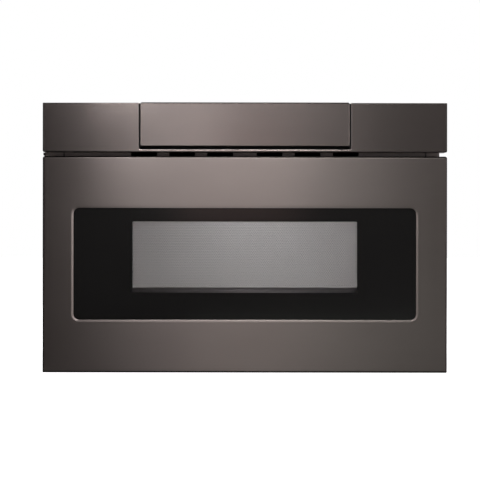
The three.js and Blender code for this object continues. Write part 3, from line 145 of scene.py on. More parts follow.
steelLook = {
    "light": (0.43, 0.366, 0.35),
    "dark": (0.385, 0.325, 0.31),
    # The bends keep only this share of the levels: painted shade, a dark copy of the steel that stands for the
    # dark reflection along each bend.
    "edge": 0.04,  # how much of these levels the bends keep
    "front": (0.285, 0.345, 0.9),  # drawer front: range of roughness, and anisotropy
    "strip": (0.205, 0.255, 0.8),  # the strip and the cover are brushed finer
    "grain": (9.0, 9.0, 3400.0),  # long along the brushing, fine across it
    "grainDetail": 4,
    "grainRough": 0.62,
    "grainBand": (0.3, 0.7),
    "haze": 7.0,
    "hazeStretch": (1, 1, 2.2),
    "turn": 0.25,
    "relief": (0.06, 0.00004),
}


def brushedSteel(name, brushing, level=1.0):
    look = steelLook
    *roughness, anisotropy = brushing
    light, dark = ([v * level for v in look[key]] for key in ("light", "dark"))
    material, tree, surface = newFinish(name, light, roughness[1], 1.0)
    grain = noise(tree, 1.0, look["grain"], look["grainDetail"], look["grainRough"])
    haze = noise(tree, look["haze"], look["hazeStretch"])
    drive(tree, surface, "Base Color", blendColours(tree, haze, dark, light))
    drive(tree, surface, "Roughness", spread(tree, grain, *roughness, *look["grainBand"]))
    surface.inputs["Anisotropic"].default_value = anisotropy
    surface.inputs["Anisotropic Rotation"].default_value = look["turn"]
    tangent = tree.nodes.new("ShaderNodeTangent")
    tangent.direction_type = "RADIAL"
    tangent.axis = "Z"
    drive(tree, surface, "Tangent", tangent.outputs["Tangent"])
    bump(tree, surface, grain, *look["relief"])
    return material


zincLook = {
    "bright": (0.66, 0.67, 0.68), "dull": (0.50, 0.51, 0.52), "metallic": 0.9, "roughness": (0.45, 0.36, 0.52),
    "spangle": 95.0, "stretch": (1, 1, 1.3), "cloud": 14.0, "shares": (0.5, 0.6),
    "grain": 420.0, "relief": (0.05, 0.0002),
}


def zincSheet():
    look = zincLook
    plain, *band = look["roughness"]
    material, tree, surface = newFinish("galvanisedSheet", look["bright"], plain, look["metallic"])
    cells = tree.nodes.new("ShaderNodeTexVoronoi")
    cells.inputs["Scale"].default_value = look["spangle"]
    tree.links.new(objectCoords(tree, look["stretch"]), cells.inputs["Vector"])
    tone = tree.nodes.new("ShaderNodeSeparateColor")
    tree.links.new(cells.outputs["Color"], tone.inputs["Color"])
    cloud = noise(tree, look["cloud"], detail=4)
    mixed = sumOfShares(tree, (tone.outputs["Red"], cloud), look["shares"])
    drive(tree, surface, "Base Color", blendColours(tree, mixed, look["dull"], look["bright"]))
    drive(tree, surface, "Roughness", spread(tree, tone.outputs["Green"], *band))
    bump(tree, surface, noise(tree, look["grain"]), *look["relief"])
    return material


paintLook = {"roughness": (0.5, 0.42, 0.58), "cloud": 30.0, "orangePeel": 900.0, "relief": (0.12, 0.0003)}


def satinPaint(name, colour, lighter):
    look = paintLook
    plain, *band = look["roughness"]
    material, tree, surface = newFinish(name, colour, plain)
    orangePeel = noise(tree, look["orangePeel"], detail=2)
    drive(tree, surface, "Base Color", blendColours(tree, noise(tree, look["cloud"]), colour, lighter))
    drive(tree, surface, "Roughness", spread(tree, orangePeel, *band))
    bump(tree, surface, orangePeel, *look["relief"])
    return material


plasticLook = {"smoother": 0.08, "rougher": 0.1, "cloud": 45.0, "grain": 1400.0, "relief": (0.14, 0.00025)}


def mouldedPlastic(name, colour, lighter, roughness, grain=plasticLook["grain"]):
    look = plasticLook
    material, tree, surface = newFinish(name, colour, roughness)
    texture = noise(tree, grain, detail=2)
    band = (roughness - look["smoother"], roughness + look["rougher"])
    drive(tree, surface, "Base Color", blendColours(tree, noise(tree, look["cloud"]), colour, lighter))
    drive(tree, surface, "Roughness", spread(tree, texture, *band))
    bump(tree, surface, texture, *look["relief"])
    return material


enamelLook = {
    "colour": (0.6, 0.6, 0.59), "ground": (0.58, 0.58, 0.57), "speck": (0.42, 0.42, 0.42),
    "specks": 1500.0, "speckBand": (0.62, 0.68), "roughness": (0.3, 0.25, 0.38), "smear": 60.0,
    "ripple": 260.0, "relief": (0.06, 0.0004), "coat": (0.3, 0.2),
}
ceramicLook = {
    "colour": (0.72, 0.71, 0.68), "ground": (0.74, 0.73, 0.70), "speck": (0.52, 0.51, 0.49),
    "specks": 2200.0, "speckBand": (0.6, 0.72), "roughness": (0.22, 0.16, 0.28), "smear": 40.0,
    "ripple": 130.0, "relief": (0.04, 0.0004),
}


def speckled(name, look):
    # A pale ground with fine specks, for the enamel and for the ceramic plate.
    plain, *band = look["roughness"]
    material, tree, surface = newFinish(name, look["colour"], plain)
    speck = spread(tree, noise(tree, look["specks"], detail=1), 0, 1, *look["speckBand"])
    drive(tree, surface, "Base Color", blendColours(tree, speck, look["ground"], look["speck"]))
    drive(tree, surface, "Roughness", spread(tree, noise(tree, look["smear"]), *band))
    bump(tree, surface, noise(tree, look["ripple"]), *look["relief"])
    if "coat" in look:
        surface.inputs["Coat Weight"].default_value = look["coat"][0]
        surface.inputs["Coat Roughness"].default_value = look["coat"][1]
    return material


printLook = {
    "colour": (0.005, 0.0049, 0.0049), "dark": (0.004, 0.0039, 0.0039), "light": (0.0065, 0.0061, 0.006),
    "haze": 5.0, "roughness": (0.15, 0.13, 0.18), "index": 1.5, "tint": (1, 0.95, 0.94),
}


def printedGlass():
    look = printLook
    plain, *band = look["roughness"]
    material, tree, surface = newFinish("blackPrintedGlass", look["colour"], plain)
    haze = noise(tree, look["haze"], detail=4)
    drive(tree, surface, "Base Color", blendColours(tree, haze, look["dark"], look["light"]))
    drive(tree, surface, "Roughness", spread(tree, haze, *band))
    surface.inputs["IOR"].default_value = look["index"]
    surface.inputs["Specular Tint"].default_value = (*look["tint"], 1)
    return material


paneLook = {"smear": 9.0, "roughness": (0.03, 0.08), "index": 1.45}


def clearGlass(name, tint):
    # Sight passes straight through, so that the screen behind stays lit.
    look = paneLook
    material = bpy.data.materials.new(name)
    material.use_nodes = True
    tree = material.node_tree
    tree.nodes.clear()
    out = tree.nodes.new("ShaderNodeOutputMaterial")
    through = tree.nodes.new("ShaderNodeBsdfTransparent")
    through.inputs["Color"].default_value = (*tint, 1)
    gloss = tree.nodes.new("ShaderNodeBsdfGlossy")
    smear = spread(tree, noise(tree, look["smear"], detail=4), *look["roughness"])
    tree.links.new(smear, gloss.inputs["Roughness"])
    fresnel = tree.nodes.new("ShaderNodeFresnel")
    fresnel.inputs["IOR"].default_value = look["index"]
    mix = tree.nodes.new("ShaderNodeMixShader")
    tree.links.new(fresnel.outputs["Fac"], mix.inputs["Fac"])
    tree.links.new(through.outputs["BSDF"], mix.inputs[1])
    tree.links.new(gloss.outputs["BSDF"], mix.inputs[2])
    tree.links.new(mix.outputs["Shader"], out.inputs["Surface"])
    return material


rolledLook = {
    "metallic": 0.85,
    "marks": (18, 18, 900),
    "cloud": 20.0,
    "lines": 78.5,  # puts them 4 mm apart
    "shares": (0.6, 0.4),  # of the cloud and of the lines
    "darkest": 0.8,
    "smoother": 0.05,
    "rougher": 0.06,
    "relief": (0.08, 0.0001),
}


def rolledSheet(name, colour, roughness):
    # Bare sheet: metal with a faint cloud, and faint lines across it.
    look = rolledLook
    material, tree, surface = newFinish(name, colour, roughness, look["metallic"])
    rolling = noise(tree, 1.0, look["marks"])
    cloud = noise(tree, look["cloud"], detail=4)
    shade = sumOfShares(tree, (cloud, waves(tree, look["lines"])), look["shares"])
    darker = [v * look["darkest"] for v in colour]
    band = (roughness - look["smoother"], roughness + look["rougher"])
    drive(tree, surface, "Base Color", blendColours(tree, shade, darker, colour))
    drive(tree, surface, "Roughness", spread(tree, rolling, *band))
    bump(tree, surface, rolling, *look["relief"])
    return material


# The dark colour is painted shade in the grooves between the turns; the light one is the wire's own colour.
copperLook = {
    "colour": (0.55, 0.22, 0.09), "dark": (0.28, 0.09, 0.03), "light": (0.66, 0.29, 0.12), "metallic": 0.85,
    "roughness": (0.3, 0.22, 0.4), "smear": 300.0, "turns": 190.0, "waver": 0.6, "relief": (0.6, 0.0006),
}


def windingCopper():
    look = copperLook
    plain, *band = look["roughness"]
    material, tree, surface = newFinish("varnishedCopper", look["colour"], plain, look["metallic"])
    turns = waves(tree, look["turns"], look["waver"])
    # The wave paints shade into the grooves between the turns of wire.
    drive(tree, surface, "Base Color", blendColours(tree, turns, look["dark"], look["light"]))
    drive(tree, surface, "Roughness", spread(tree, noise(tree, look["smear"]), *band))
    bump(tree, surface, turns, *look["relief"])
    return material


aluminiumLook = {
    "colour": (0.75, 0.76, 0.77), "dark": (0.66, 0.67, 0.68), "light": (0.80, 0.81, 0.82),
    "roughness": (0.35, 0.28, 0.46), "marks": (12, 500, 500), "relief": (0.05, 0.0001),
}


def millAluminium():
    look = aluminiumLook
    plain, *band = look["roughness"]
    material, tree, surface = newFinish("millAluminium", look["colour"], plain, 1.0)
    rolling = noise(tree, 1.0, look["marks"])
    drive(tree, surface, "Base Color", blendColours(tree, rolling, look["dark"], look["light"]))
    drive(tree, surface, "Roughness", spread(tree, rolling, *band))
    bump(tree, surface, rolling, *look["relief"])
    return material


boardLook = {
    "colour": (0.03, 0.14, 0.07), "roughness": (0.4, 0.3, 0.5), "smear": 80.0, "tracks": 46.0, "gap": 0.035,
    "Color1": (0.022, 0.11, 0.055), "Color2": (0.03, 0.16, 0.08), "Mortar": (0.06, 0.27, 0.13),
}


def circuitBoard():
    look = boardLook
    plain, *band = look["roughness"]
    material, tree, surface = newFinish("circuitBoard", look["colour"], plain)
    tracks = tree.nodes.new("ShaderNodeTexBrick")
    tracks.inputs["Scale"].default_value = look["tracks"]
    tracks.inputs["Mortar Size"].default_value = look["gap"]
    for socket in ("Color1", "Color2", "Mortar"):
        tracks.inputs[socket].default_value = (*look[socket], 1)
    tree.links.new(objectCoords(tree), tracks.inputs["Vector"])
    drive(tree, surface, "Base Color", tracks.outputs["Color"])
    drive(tree, surface, "Roughness", spread(tree, noise(tree, look["smear"]), *band))
    return material


finishes = {
    "black_stainless": brushedSteel("frontSteel", steelLook["front"]),
    "zinc_steel": zincSheet(),
    "dark_paint": satinPaint("satinDarkPaint", (0.036, 0.032, 0.03), (0.052, 0.047, 0.043)),
    "enamel": speckled("ovenEnamel", enamelLook),
    "screen_steel": rolledSheet("screenSheet", (0.80, 0.755, 0.77), 0.46),
    "dark_plastic": mouldedPlastic("darkPlastic", (0.018, 0.018, 0.019), (0.026, 0.026, 0.027), 0.5),
    "white_plastic": mouldedPlastic("acetal", (0.66, 0.64, 0.59), (0.72, 0.70, 0.65), 0.4),
    "seal_foam": mouldedPlastic("sealFoam", (0.003, 0.003, 0.003), (0.006, 0.006, 0.006), 0.88, 700.0),
    "black_glass": printedGlass(),
    "clear_glass": clearGlass("clearPane", (0.96, 0.965, 0.965)),
    "ceramic_plate": speckled("ceramicPlate", ceramicLook),
    "copper": windingCopper(),
    "aluminium": millAluminium(),
    "circuit_board": circuitBoard(),
}
viewGlass = clearGlass("viewGlass", (0.97, 0.955, 0.96))
stripSteel = brushedSteel("stripSteel", steelLook["strip"])
# Painted shade: the bends get a nearly black copy of the front steel, standing for their dark reflection.
bendShadeSteel = brushedSteel("bendShadeSteel", steelLook["front"], steelLook["edge"])
# Painted shade: a darker copy of the screen sheet for the shaded ledge under the holes.
sillShadeSheet = rolledSheet("sillShadeSheet", (0.52, 0.50, 0.507), 0.5)
keyInk = mouldedPlastic("keyInk", (0.62, 0.62, 0.62), (0.70, 0.70, 0.70), 0.5, 2500.0)
# Painted light: the frame and the flanges take a paint far lighter than their own dark paint, so that they
# read as lit deep in the shaded vent gap.
gapLitFramePaint = satinPaint("gapLitFramePaint", (0.185, 0.155, 0.145), (0.225, 0.19, 0.178))
faceNodes = ("front_frame", "mounting_flange_left", "mounting_flange_right")  # these show in the vent gap
slotOfNode = {part["node"]: part["material_slot"] for part in frame["record"]["subparts"]}
for name, piece in nodes.items():
    piece.data.materials.clear()
    piece.data.materials.append(gapLitFramePaint if name in faceNodes else finishes[slotOfNode[name]])
print("finishes on", len(nodes), "nodes")


# Mesh building blocks. Outlines are drawn in x and z, in millimetres.

leastRadius = 0.05  # so that an inset corner never turns inside out
bendSteps = 5
softShare = 0.4  # at most this much of a plate's thickness goes into its soft edge
weldWithin = 1e-7  # metres
flatWithin = 1e-5


def outlineLoop(corners, radii, inset, depth, steps=8):
    # One ring of points: the outline moved inwards, its corners rounded, at a depth behind the skin.
    count = len(corners)
    ring = []
    for i in range(count):
        before, here, after = (Vector(corners[k % count]) for k in (i - 1, i, i + 1))
        into, away = (here - before).normalized(), (after - here).normalized()
        turn = into.x * away.y - into.y * away.x  # above zero at an outer corner
        side = 1 if turn > 0 else -1
        normalIn, normalOut = Vector((-into.y, into.x)), Vector((-away.y, away.x))
        corner = here + (normalIn + normalOut) * inset
        radius = max(radii[i] - side * inset, leastRadius)
        centre = corner + (normalIn + normalOut) * (radius * side)
        start = -normalIn * side
        for k in range(steps + 1):
            angle = side * math.pi / 2 * k / steps
            arm = Matrix.Rotation(angle, 2) @ start
            spot = centre + arm * radius
            ring.append((spot.x * mm, frontPlane + depth * mm, spot.y * mm))
    return ring


def rectangleOf(halfWidth, low, high):
    return [(-halfWidth, low), (halfWidth, low), (halfWidth, high), (-halfWidth, high)]


def bendProfile(radius, crease=0.0):
    # Quarter bend as (inset, depth), from the side round to the face, with a crease where they meet.
    turns = [math.pi / 2 * k / bendSteps for k in range(bendSteps + 1)]
    return [(radius * (1 - math.cos(a)), crease + radius * (1 - math.sin(a))) for a in turns]


class Shell:
    # Collects points and faces of one piece.
    def __init__(self):
        self.points, self.faces, self.slots = [], [], []

    def add(self, points, faces, slot=0):
        first = len(self.points)
        self.points += points
        self.faces += [[first + k for k in face] for face in faces]
        self.slots += [slot] * len(faces)

    def rings(self, rings, closed=False, edges=(), plain=()):
        # Bands named in edges take the second slot, the nearly black copy of the steel that paints shade on
        # the fold, except along the points named in plain.
        size = len(rings[0])
        bands = []
        for a in range(len(rings) if closed else len(rings) - 1):
            b = (a + 1) % len(rings)
            for i in range(size):
                j = (i + 1) % size
                bands.append((a * size + i, a * size + j, b * size + j, b * size + i))
        self.add([point for ring in rings for point in ring], bands)
        folded = [a in edges and i not in plain for a in range(len(bands) // size) for i in range(size)]
        self.slots[-len(bands):] = [int(fold) for fold in folded]

    def cap(self, ring, slot=0, flip=False):
        face = list(range(len(ring)))
        self.add(ring, [face[::-1] if flip else face], slot)

    def plate(self, x, y, z, edge=0.3):
        # A sheet with softened edges, in millimetres, y behind the skin.
        cube = bmesh.new()
        bmesh.ops.create_cube(cube, size=1)
        size = [abs(b - a) for a, b in (x, y, z)]
        middle = [(a + b) / 2 for a, b in (x, y, z)]
        bmesh.ops.scale(cube, vec=size, verts=cube.verts)
        soft = min(edge, min(size) * softShare)
        bmesh.ops.bevel(cube, geom=cube.edges[:], offset=soft, segments=2, affect="EDGES")
        bmesh.ops.translate(cube, vec=middle, verts=cube.verts)
        self.take(cube, Matrix.Translation((0, frontPlane, 0)) @ Matrix.Diagonal((mm, mm, mm, 1)))

    def take(self, source, place):
        source.verts.index_update()
        faces = [[v.index for v in face.verts] for face in source.faces]
        self.add([tuple(place @ v.co) for v in source.verts], faces)
        source.free()

    def piece(self, name, body, slotName, materials, replaced=(), sharp=32):
        mesh = bpy.data.meshes.new(name)
        mesh.from_pydata(self.points, [], self.faces)
        for material in materials:
            mesh.materials.append(material)
        mesh.polygons.foreach_set("material_index", self.slots)
        made = bmesh.new()
        made.from_mesh(mesh)
        bmesh.ops.remove_doubles(made, verts=made.verts, dist=weldWithin)
        bmesh.ops.recalc_face_normals(made, faces=made.faces)
        made.to_mesh(mesh)
        made.free()
        mesh.shade_smooth()
        mesh.set_sharp_from_angle(angle=math.radians(sharp))
        item = bpy.data.objects.new(name, mesh)
        bpy.context.collection.objects.link(item)
        flats = item.modifiers.new("flats", "WEIGHTED_NORMAL")
        flats.keep_sharp = True
        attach(item, body)
        if replaced:
            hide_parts(*replaced)
        return item


# Stainless drawer front

panel = {
    "halfWidth": 303, "height": 324, "depth": 24, "sheet": 1.0, "flange": 12,
    "corners": (1.2, 1.2, 3.2, 3.2), "bend": 2.0, "crease": 0.12, "border": (1.2, 2),
    "openHalf": 259.8, "openLow": 75.7, "openHigh": 249.7, "openCorner": 11.8,
    "lip": 3.3, "slope": 0.42, "drop": 1.6,
    "level": 0.8,  # how much of the slope the top side of the lip does without
    "lipStart": ((-0.8, 0), (0, 0), (0.25, 0.02), (0.6, 0.08)),
    "lipTurn": ((0.7, -0.05), (0.35, 0.1), (0.1, 0.4)),  # before its inner edge, and below the slope
    "lipBack": (0.4, -1),
}


def frontPanel():
    p = panel
    outside = rectangleOf(p["halfWidth"], 0, p["height"])
    opening = rectangleOf(p["openHalf"], p["openLow"], p["openHigh"])

    def outer(inset, depth):
        return outlineLoop(outside, p["corners"], inset, depth)

    def inner(inset, depth):
        return outlineLoop(opening, [p["openCorner"]] * 4, inset, depth)

    def easedInner(inset, depth):
        # Nearer the skin along the top side, and by less and less round its two corners.
        ring = []
        for x, y, z in inner(inset, depth):
            up = (z / mm - p["openHigh"] + p["openCorner"]) / (p["openCorner"] - p["lip"])
            ease = p["level"] * min(max(up, 0), 1)
            ring.append((x, frontPlane + (y - frontPlane) * (1 - ease), z))
        return ring

    s, b, d, lip, drop = (p[key] for key in ("sheet", "bend", "depth", "lip", "drop"))
    skin = [outer(p["flange"], d), outer(b, d), outer(b / 3, d - b / 3), outer(0, d - b)]
    fold = len(skin)
    skin += [outer(inset, depth) for inset, depth in bendProfile(b, p["crease"])]
    skin += [outer(b + inset, 0) for inset in p["border"]]
    # The lip slopes gently, then turns in to the glass.
    skin += [inner(inset, depth) for inset, depth in p["lipStart"]]
    skin += [easedInner(lip - inset, p["slope"] + depth) for inset, depth in p["lipTurn"]]
    skin += [inner(lip, drop - s / 2), inner(lip, drop + s)]
    skin += [inner(inset, s) for inset in p["lipBack"]]
    skin += [outer(b + s, s), outer(s, b + s), outer(s, d - s), outer(p["flange"], d - s)]
    shell = Shell()
    shell.rings(skin, closed=True, edges=range(fold, fold + bendSteps))
    # The bends take the second finish, a nearly black copy of the steel: painted shade.
    steels = [finishes["black_stainless"], bendShadeSteel]
    shell.piece("frontPanel", "drawer", "black_stainless", steels, ["drawer_front"])


# Fixed strip over the drawer

strip = {
    "halfWidth": 303, "low": 330, "high": 404, "lowCorner": 2.4, "highCorner": 0.8,
    "notch": 159, "notchLow": 334.2, "notchCorner": 2.2, "notchReturn": 3.5, "notchClear": (2, 0.5),
    "bend": 1.1, "crease": 0.07, "rim": 0.6, "border": 0.5, "sheet": 1.0, "depth": 29.5, "flange": 12,
    "returnFrom": 1.6, "short": 0.6, "flangeShort": 0.4, "steps": 6,
}


def topStrip():
    p = strip
    w, n, low, high, bar = (p[key] for key in ("halfWidth", "notch", "low", "high", "notchLow"))
    corners = [(-w, low), (w, low), (w, high), (n, high), (n, bar), (-n, bar), (-n, high), (-w, high)]
    c, t, m = (p[key] for key in ("lowCorner", "highCorner", "notchCorner"))
    radii = [c, c, t, t, m, m, t, t]

    def ring(inset, depth):
        return outlineLoop(corners, radii, inset, depth, p["steps"])

    # The bar under the notch is only 4.2 mm high, so its bends meet almost in the middle.
    s, d, edge = p["sheet"], p["depth"], p["rim"] + p["bend"]
    skin = [ring(s, edge), ring(0, edge)]
    fold = len(skin)
    skin += [ring(inset, depth) for inset, depth in bendProfile(p["bend"], p["crease"])]
    face = ring(p["bend"] + p["border"], 0)
    corner = p["steps"] + 1
    notchSides = range(3 * corner, 7 * corner - 1)
    shell = Shell()
    shell.rings(skin + [face], edges=range(fold, fold + bendSteps), plain=notchSides)
    shell.cap(face)
    shell.cap(skin[0], flip=True)
    # The returns stop short of each other's bends.
    start, side = p["returnFrom"], w - p["short"]
    below, above = p["notchClear"]
    shell.plate((-w + c, w - c), (start, d), (low, low + s))
    for k in (-1, 1):
        shell.plate((k * (w - s), k * w), (start, d), (low + c, high - p["short"]))
        shell.plate((k * n, k * side), (s, d), (high - s, high))
        shell.plate((k * n, k * (n + s)), (s, p["notchReturn"]), (bar + below, high - above))
        shell.plate((k * n, k * side), (d - s, d), (high - p["flange"], high - p["flangeShort"]))
    # The bends, except along the notch sides, take the nearly black copy of the steel: painted shade.
    shell.piece("stripSkin", "chassis", "black_stainless", [stripSteel, bendShadeSteel], ["top_strip"])


# Cover of the control unit

cover = {
    "halfWidth": 156.9, "low": 339.5, "high": 404.8, "corners": (1.6, 1.6, 2.6, 2.6),
    "bend": 0.9, "topBend": 1.7, "flare": 0.1, "border": (1, 1.6), "hem": 4, "hemEdge": 0.2, "sheet": 1.0,
}


def controlCover():
    p = cover
    outline = rectangleOf(p["halfWidth"], p["low"], p["high"])

    def ring(inset, depth):
        return outlineLoop(outline, p["corners"], inset, depth)

    s, b, h, e = (p[key] for key in ("sheet", "bend", "hem", "hemEdge"))
    skin = [ring(s, h), ring(e, h), ring(0, h - e)]
    fold = len(skin)
    skin += [ring(inset, depth) for inset, depth in bendProfile(b, -p["flare"])]
    # The top edge is bent wider than the other three.
    wider = (p["topBend"] - b) / b
    for k, (inset, depth) in enumerate(bendProfile(b), fold):
        topFrom = p["high"] - p["corners"][2] - inset
        for i, (x, y, z) in enumerate(skin[k]):
            if z / mm > topFrom:
                skin[k][i] = (x, frontPlane + depth * (1 + wider) * mm, z - inset * wider * mm)
    skin += [ring(b + inset, 0) for inset in p["border"]]
    size = len(skin[0])
    topSide = range(size // 2, size - 1)
    others = [i for i in range(size) if i not in topSide]
    shell = Shell()
    # Only the top bend takes the nearly black copy of the steel: painted shade.
    shell.rings(skin, edges=range(fold, fold + bendSteps), plain=others)
    shell.cap(skin[-1])
    inside = [ring(s, h), ring(s, b + s), ring(b + s, s)]
    shell.rings(inside)
    shell.cap(inside[-1], flip=True)
    shell.piece("coverSkin", "control_unit", "black_stainless", [stripSteel, bendShadeSteel], ["control_cover"])


# Front glass: black print round a clear view

glass = {
    "halfWidth": 260.5, "low": 75, "high": 250.4, "corner": 12.5, "front": 2.9, "back": 6.9, "ground": 0.5,
    "viewHalf": 168.6, "viewLow": 119.3, "viewHigh": 226.2, "viewCorner": 1.5,
}


def frontGlass():
    p = glass
    outline = rectangleOf(p["halfWidth"], p["low"], p["high"])
    view = rectangleOf(p["viewHalf"], p["viewLow"], p["viewHigh"])

    def outer(inset, depth):
        return outlineLoop(outline, [p["corner"]] * 4, inset, depth)

    def middle(depth):
        return outlineLoop(view, [p["viewCorner"]] * 4, 0, depth)

    front, back, g = p["front"], p["back"], p["ground"]
    rim = [outer(g, back), outer(0, back - g), outer(0, front + g), outer(g, front)]
    shell = Shell()
    shell.rings([middle(back)] + rim + [middle(front)])
    shell.cap(middle(front), slot=1)
    shell.cap(middle(back), slot=1, flip=True)
    panes = [finishes["black_glass"], viewGlass]
    shell.piece("frontGlass", "drawer", "black_glass", panes, ["window_glass"])


# Perforated screen behind the glass, and the pale bead along the top of the view, a painted highlight

screen = {
    "halfWidth": 177, "low": 111, "high": 235, "front": 8.5, "thickness": 0.8,
    "pitch": 2.77, "rise": 2.4, "hole": 1.0, "sides": 8,
    "holesHalf": 169, "holesLow": 127.2, "holesHigh": 228.4,
}
bead = {"height": 225.7, "radius": 0.75, "half": 168.4, "tip": 0.3, "tipRadius": 0.4, "sides": 10}


def perforatedScreen():
    # Round holes in staggered rows. The plain margins hide behind the print, except the lower one,
    # the sill under the holes, a darker copy of the screen sheet that paints the shade of its ledge.
    p = screen
    w, h, low, high, n = (p[key] for key in ("halfWidth", "holesHalf", "holesLow", "holesHigh", "sides"))
    columns = round(2 * h / p["pitch"]) - 1
    rows = round((high - low) / p["rise"])
    wide, tall = 2 * h / (columns + 0.5), (high - low) / rows
    y = frontPlane + p["front"] * mm
    rim, hole = [], []
    for k in range(n):
        angle = 2 * math.pi * k / n + math.pi / 4
        x, z = math.cos(angle), math.sin(angle)
        far = max(abs(x), abs(z))
        rim.append((x / far * wide / 2, z / far * tall / 2))
        hole.append((x * p["hole"], z * p["hole"]))
    cell = [(m, (m + 1) % n, n + (m + 1) % n, n + m) for m in range(n)]
    shell = Shell()

    def margin(x, z, slot=0):
        around = ((x[0], z[0]), (x[1], z[0]), (x[1], z[1]), (x[0], z[1]))
        shell.add([(a * mm, y, b * mm) for a, b in around], [(0, 1, 2, 3)], slot)

    for k in range(rows):
        shift = 0.5 if k % 2 else 0
        level = (low + k * tall, low + (k + 1) * tall)
        for i in range(columns):
            cx, cz = -h + (i + 0.5 + shift) * wide, sum(level) / 2
            shell.add([((cx + a) * mm, y, (cz + b) * mm) for a, b in rim + hole], cell)
        margin((-w, -h + shift * wide), level)
        margin((h - (0.5 - shift) * wide, w), level)
    # The lower margin is the sill, painted shade.
    margin((-w, w), (p["low"], low), 1)
    margin((-w, w), (high, p["high"]))
    sheets = [finishes["screen_steel"], sillShadeSheet]
    item = shell.piece("doorScreenSheet", "drawer", "screen_steel", sheets, ["door_screen"])
    thick = item.modifiers.new("sheet", "SOLIDIFY")
    thick.thickness = p["thickness"] * mm
    thick.offset = -1


def highlightBead():
    # A pale strip that stands for the bright line of light along the top of the view: a painted highlight.
    p = bead
    turns = [2 * math.pi * k / p["sides"] for k in range(p["sides"])]

    def section(x, r):
        depth = screen["front"] - p["radius"]
        around = [(depth + r * math.cos(a), p["height"] + r * math.sin(a)) for a in turns]
        return [(x * mm, frontPlane + y * mm, z * mm) for y, z in around]

    straight = p["half"] - p["tip"]
    stations = ((-p["half"], p["tipRadius"]), (-straight, p["radius"]))
    stations += ((straight, p["radius"]), (p["half"], p["tipRadius"]))
    ends = [section(x, r) for x, r in stations]
    shell = Shell()
    shell.rings(ends)
    shell.cap(ends[0], flip=True)
    shell.cap(ends[-1])
    shell.piece("highlightBead", "drawer", "white_plastic", [finishes["white_plastic"]])


# Near-black strips that paint the shade of the gaps beside the cover and of the vent gap, and the filter
# behind the vent duct

coverGapShadeSize = {
    "inner": 157.3, "outer": 159.05, "front": 2.2, "shallow": 3.4, "deep": 11,
    "low": 336.5, "step": 366, "high": 403.2,
}
gapEnds = {
    "low": 325.2, "high": 329.6, "edge": 0.15, "tab": (-302.3, -301.5), "tabDepth": (4.5, 29.8),
    "seam": (272.2, 274.2), "seamDepth": (28.8, 29.7), "seamOver": (0.8, 0.2),
}
filterMat = {"pleat": 4.0, "thick": 3.0, "frame": 1.6, "margin": 0.3, "mat": 0.5}


def coverGapShade():
    # Near-black strips that fill the gaps beside the cover: painted shade, standing in for the dark of these
    # gaps.
    p = coverGapShadeSize
    shell = Shell()
    for side in (-1, 1):
        across = (side * p["inner"], side * p["outer"])
        shell.plate(across, (p["front"], p["shallow"]), (p["low"], p["step"]))
        shell.plate(across, (p["front"], p["deep"]), (p["step"], p["high"]))
    shell.piece("coverGapShade", "chassis", "dark_plastic", [finishes["seal_foam"]])


def ventGapShade():
    # A tab on the left flange and a strip over each seam of the front frame, in dark paint: painted shade
    # where the vent gap is dark.
    p = gapEnds
    below, above = p["seamOver"]
    shell = Shell()
    shell.plate(p["tab"], p["tabDepth"], (p["low"], p["high"]), p["edge"])
    for side in (-1, 1):
        across = [side * x for x in p["seam"]]
        shell.plate(across, p["seamDepth"], (p["low"] - below, p["high"] + above), p["edge"])
    shell.piece("ventGapShade", "chassis", "dark_paint", [finishes["dark_paint"]])


def ventFilter():
    p = filterMat
    low, high = ([v / mm for v in corner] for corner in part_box("vent_duct"))
    back, rim = high[1] - frontPlane / mm, p["frame"]
    width = high[0] - low[0] - 2 * rim
    count = 2 * round(width / p["pleat"] / 2)
    near, far = back + p["margin"], back + p["thick"] - p["margin"]
    front = [(low[0] + rim + width * k / count, near if k % 2 else far) for k in range(count + 1)]
    loop = front + [(x, y + p["mat"]) for x, y in front[::-1]]
    levels = (low[2] + rim, high[2] - rim)
    shell = Shell()
    shell.rings([[(x * mm, frontPlane + y * mm, z * mm) for x, y in loop] for z in levels])
    through = (back, back + p["thick"])
    for z in ((low[2], levels[0]), (levels[1], high[2])):
        shell.plate((low[0], high[0]), through, z)
    for x in ((low[0], low[0] + rim), (high[0] - rim, high[0])):
        shell.plate(x, through, (low[2], high[2]))
    shell.piece("ventFilter", "chassis", "dark_plastic", [finishes["dark_plastic"]])


frontPanel()
topStrip()
controlCover()
frontGlass()
perforatedScreen()
highlightBead()
coverGapShade()
ventGapShade()
ventFilter()
print("front pieces made")


# Screws of the case: a hexagon head on its washer, in millimetres

screw = {
    "sunk": 0.2, "washer": 4.3, "washerSide": 0.45, "rim": 0.9, "collar": 0.05,
    "flats": 3.2, "head": 2.7, "chamfer": (0.5, 0.4), "dish": (2.1, 1.6, 0.4), "dishDepth": 0.5, "steps": 24,
    "turn": 40,  # the heads stand at all angles, by where they are
}
caseScrews = {
    "rearAcross": (-268, -134, 0, 134, 268), "rearRows": (24, 376),
    "rearEdges": (-268, 268), "edgeRows": (112, 200, 288),
    "sideAlong": (-215, -60, 95, 250), "sideRow": 23,
    "topAlong": (-240, 268), "topAcross": (-240, -80, 80, 240),
}


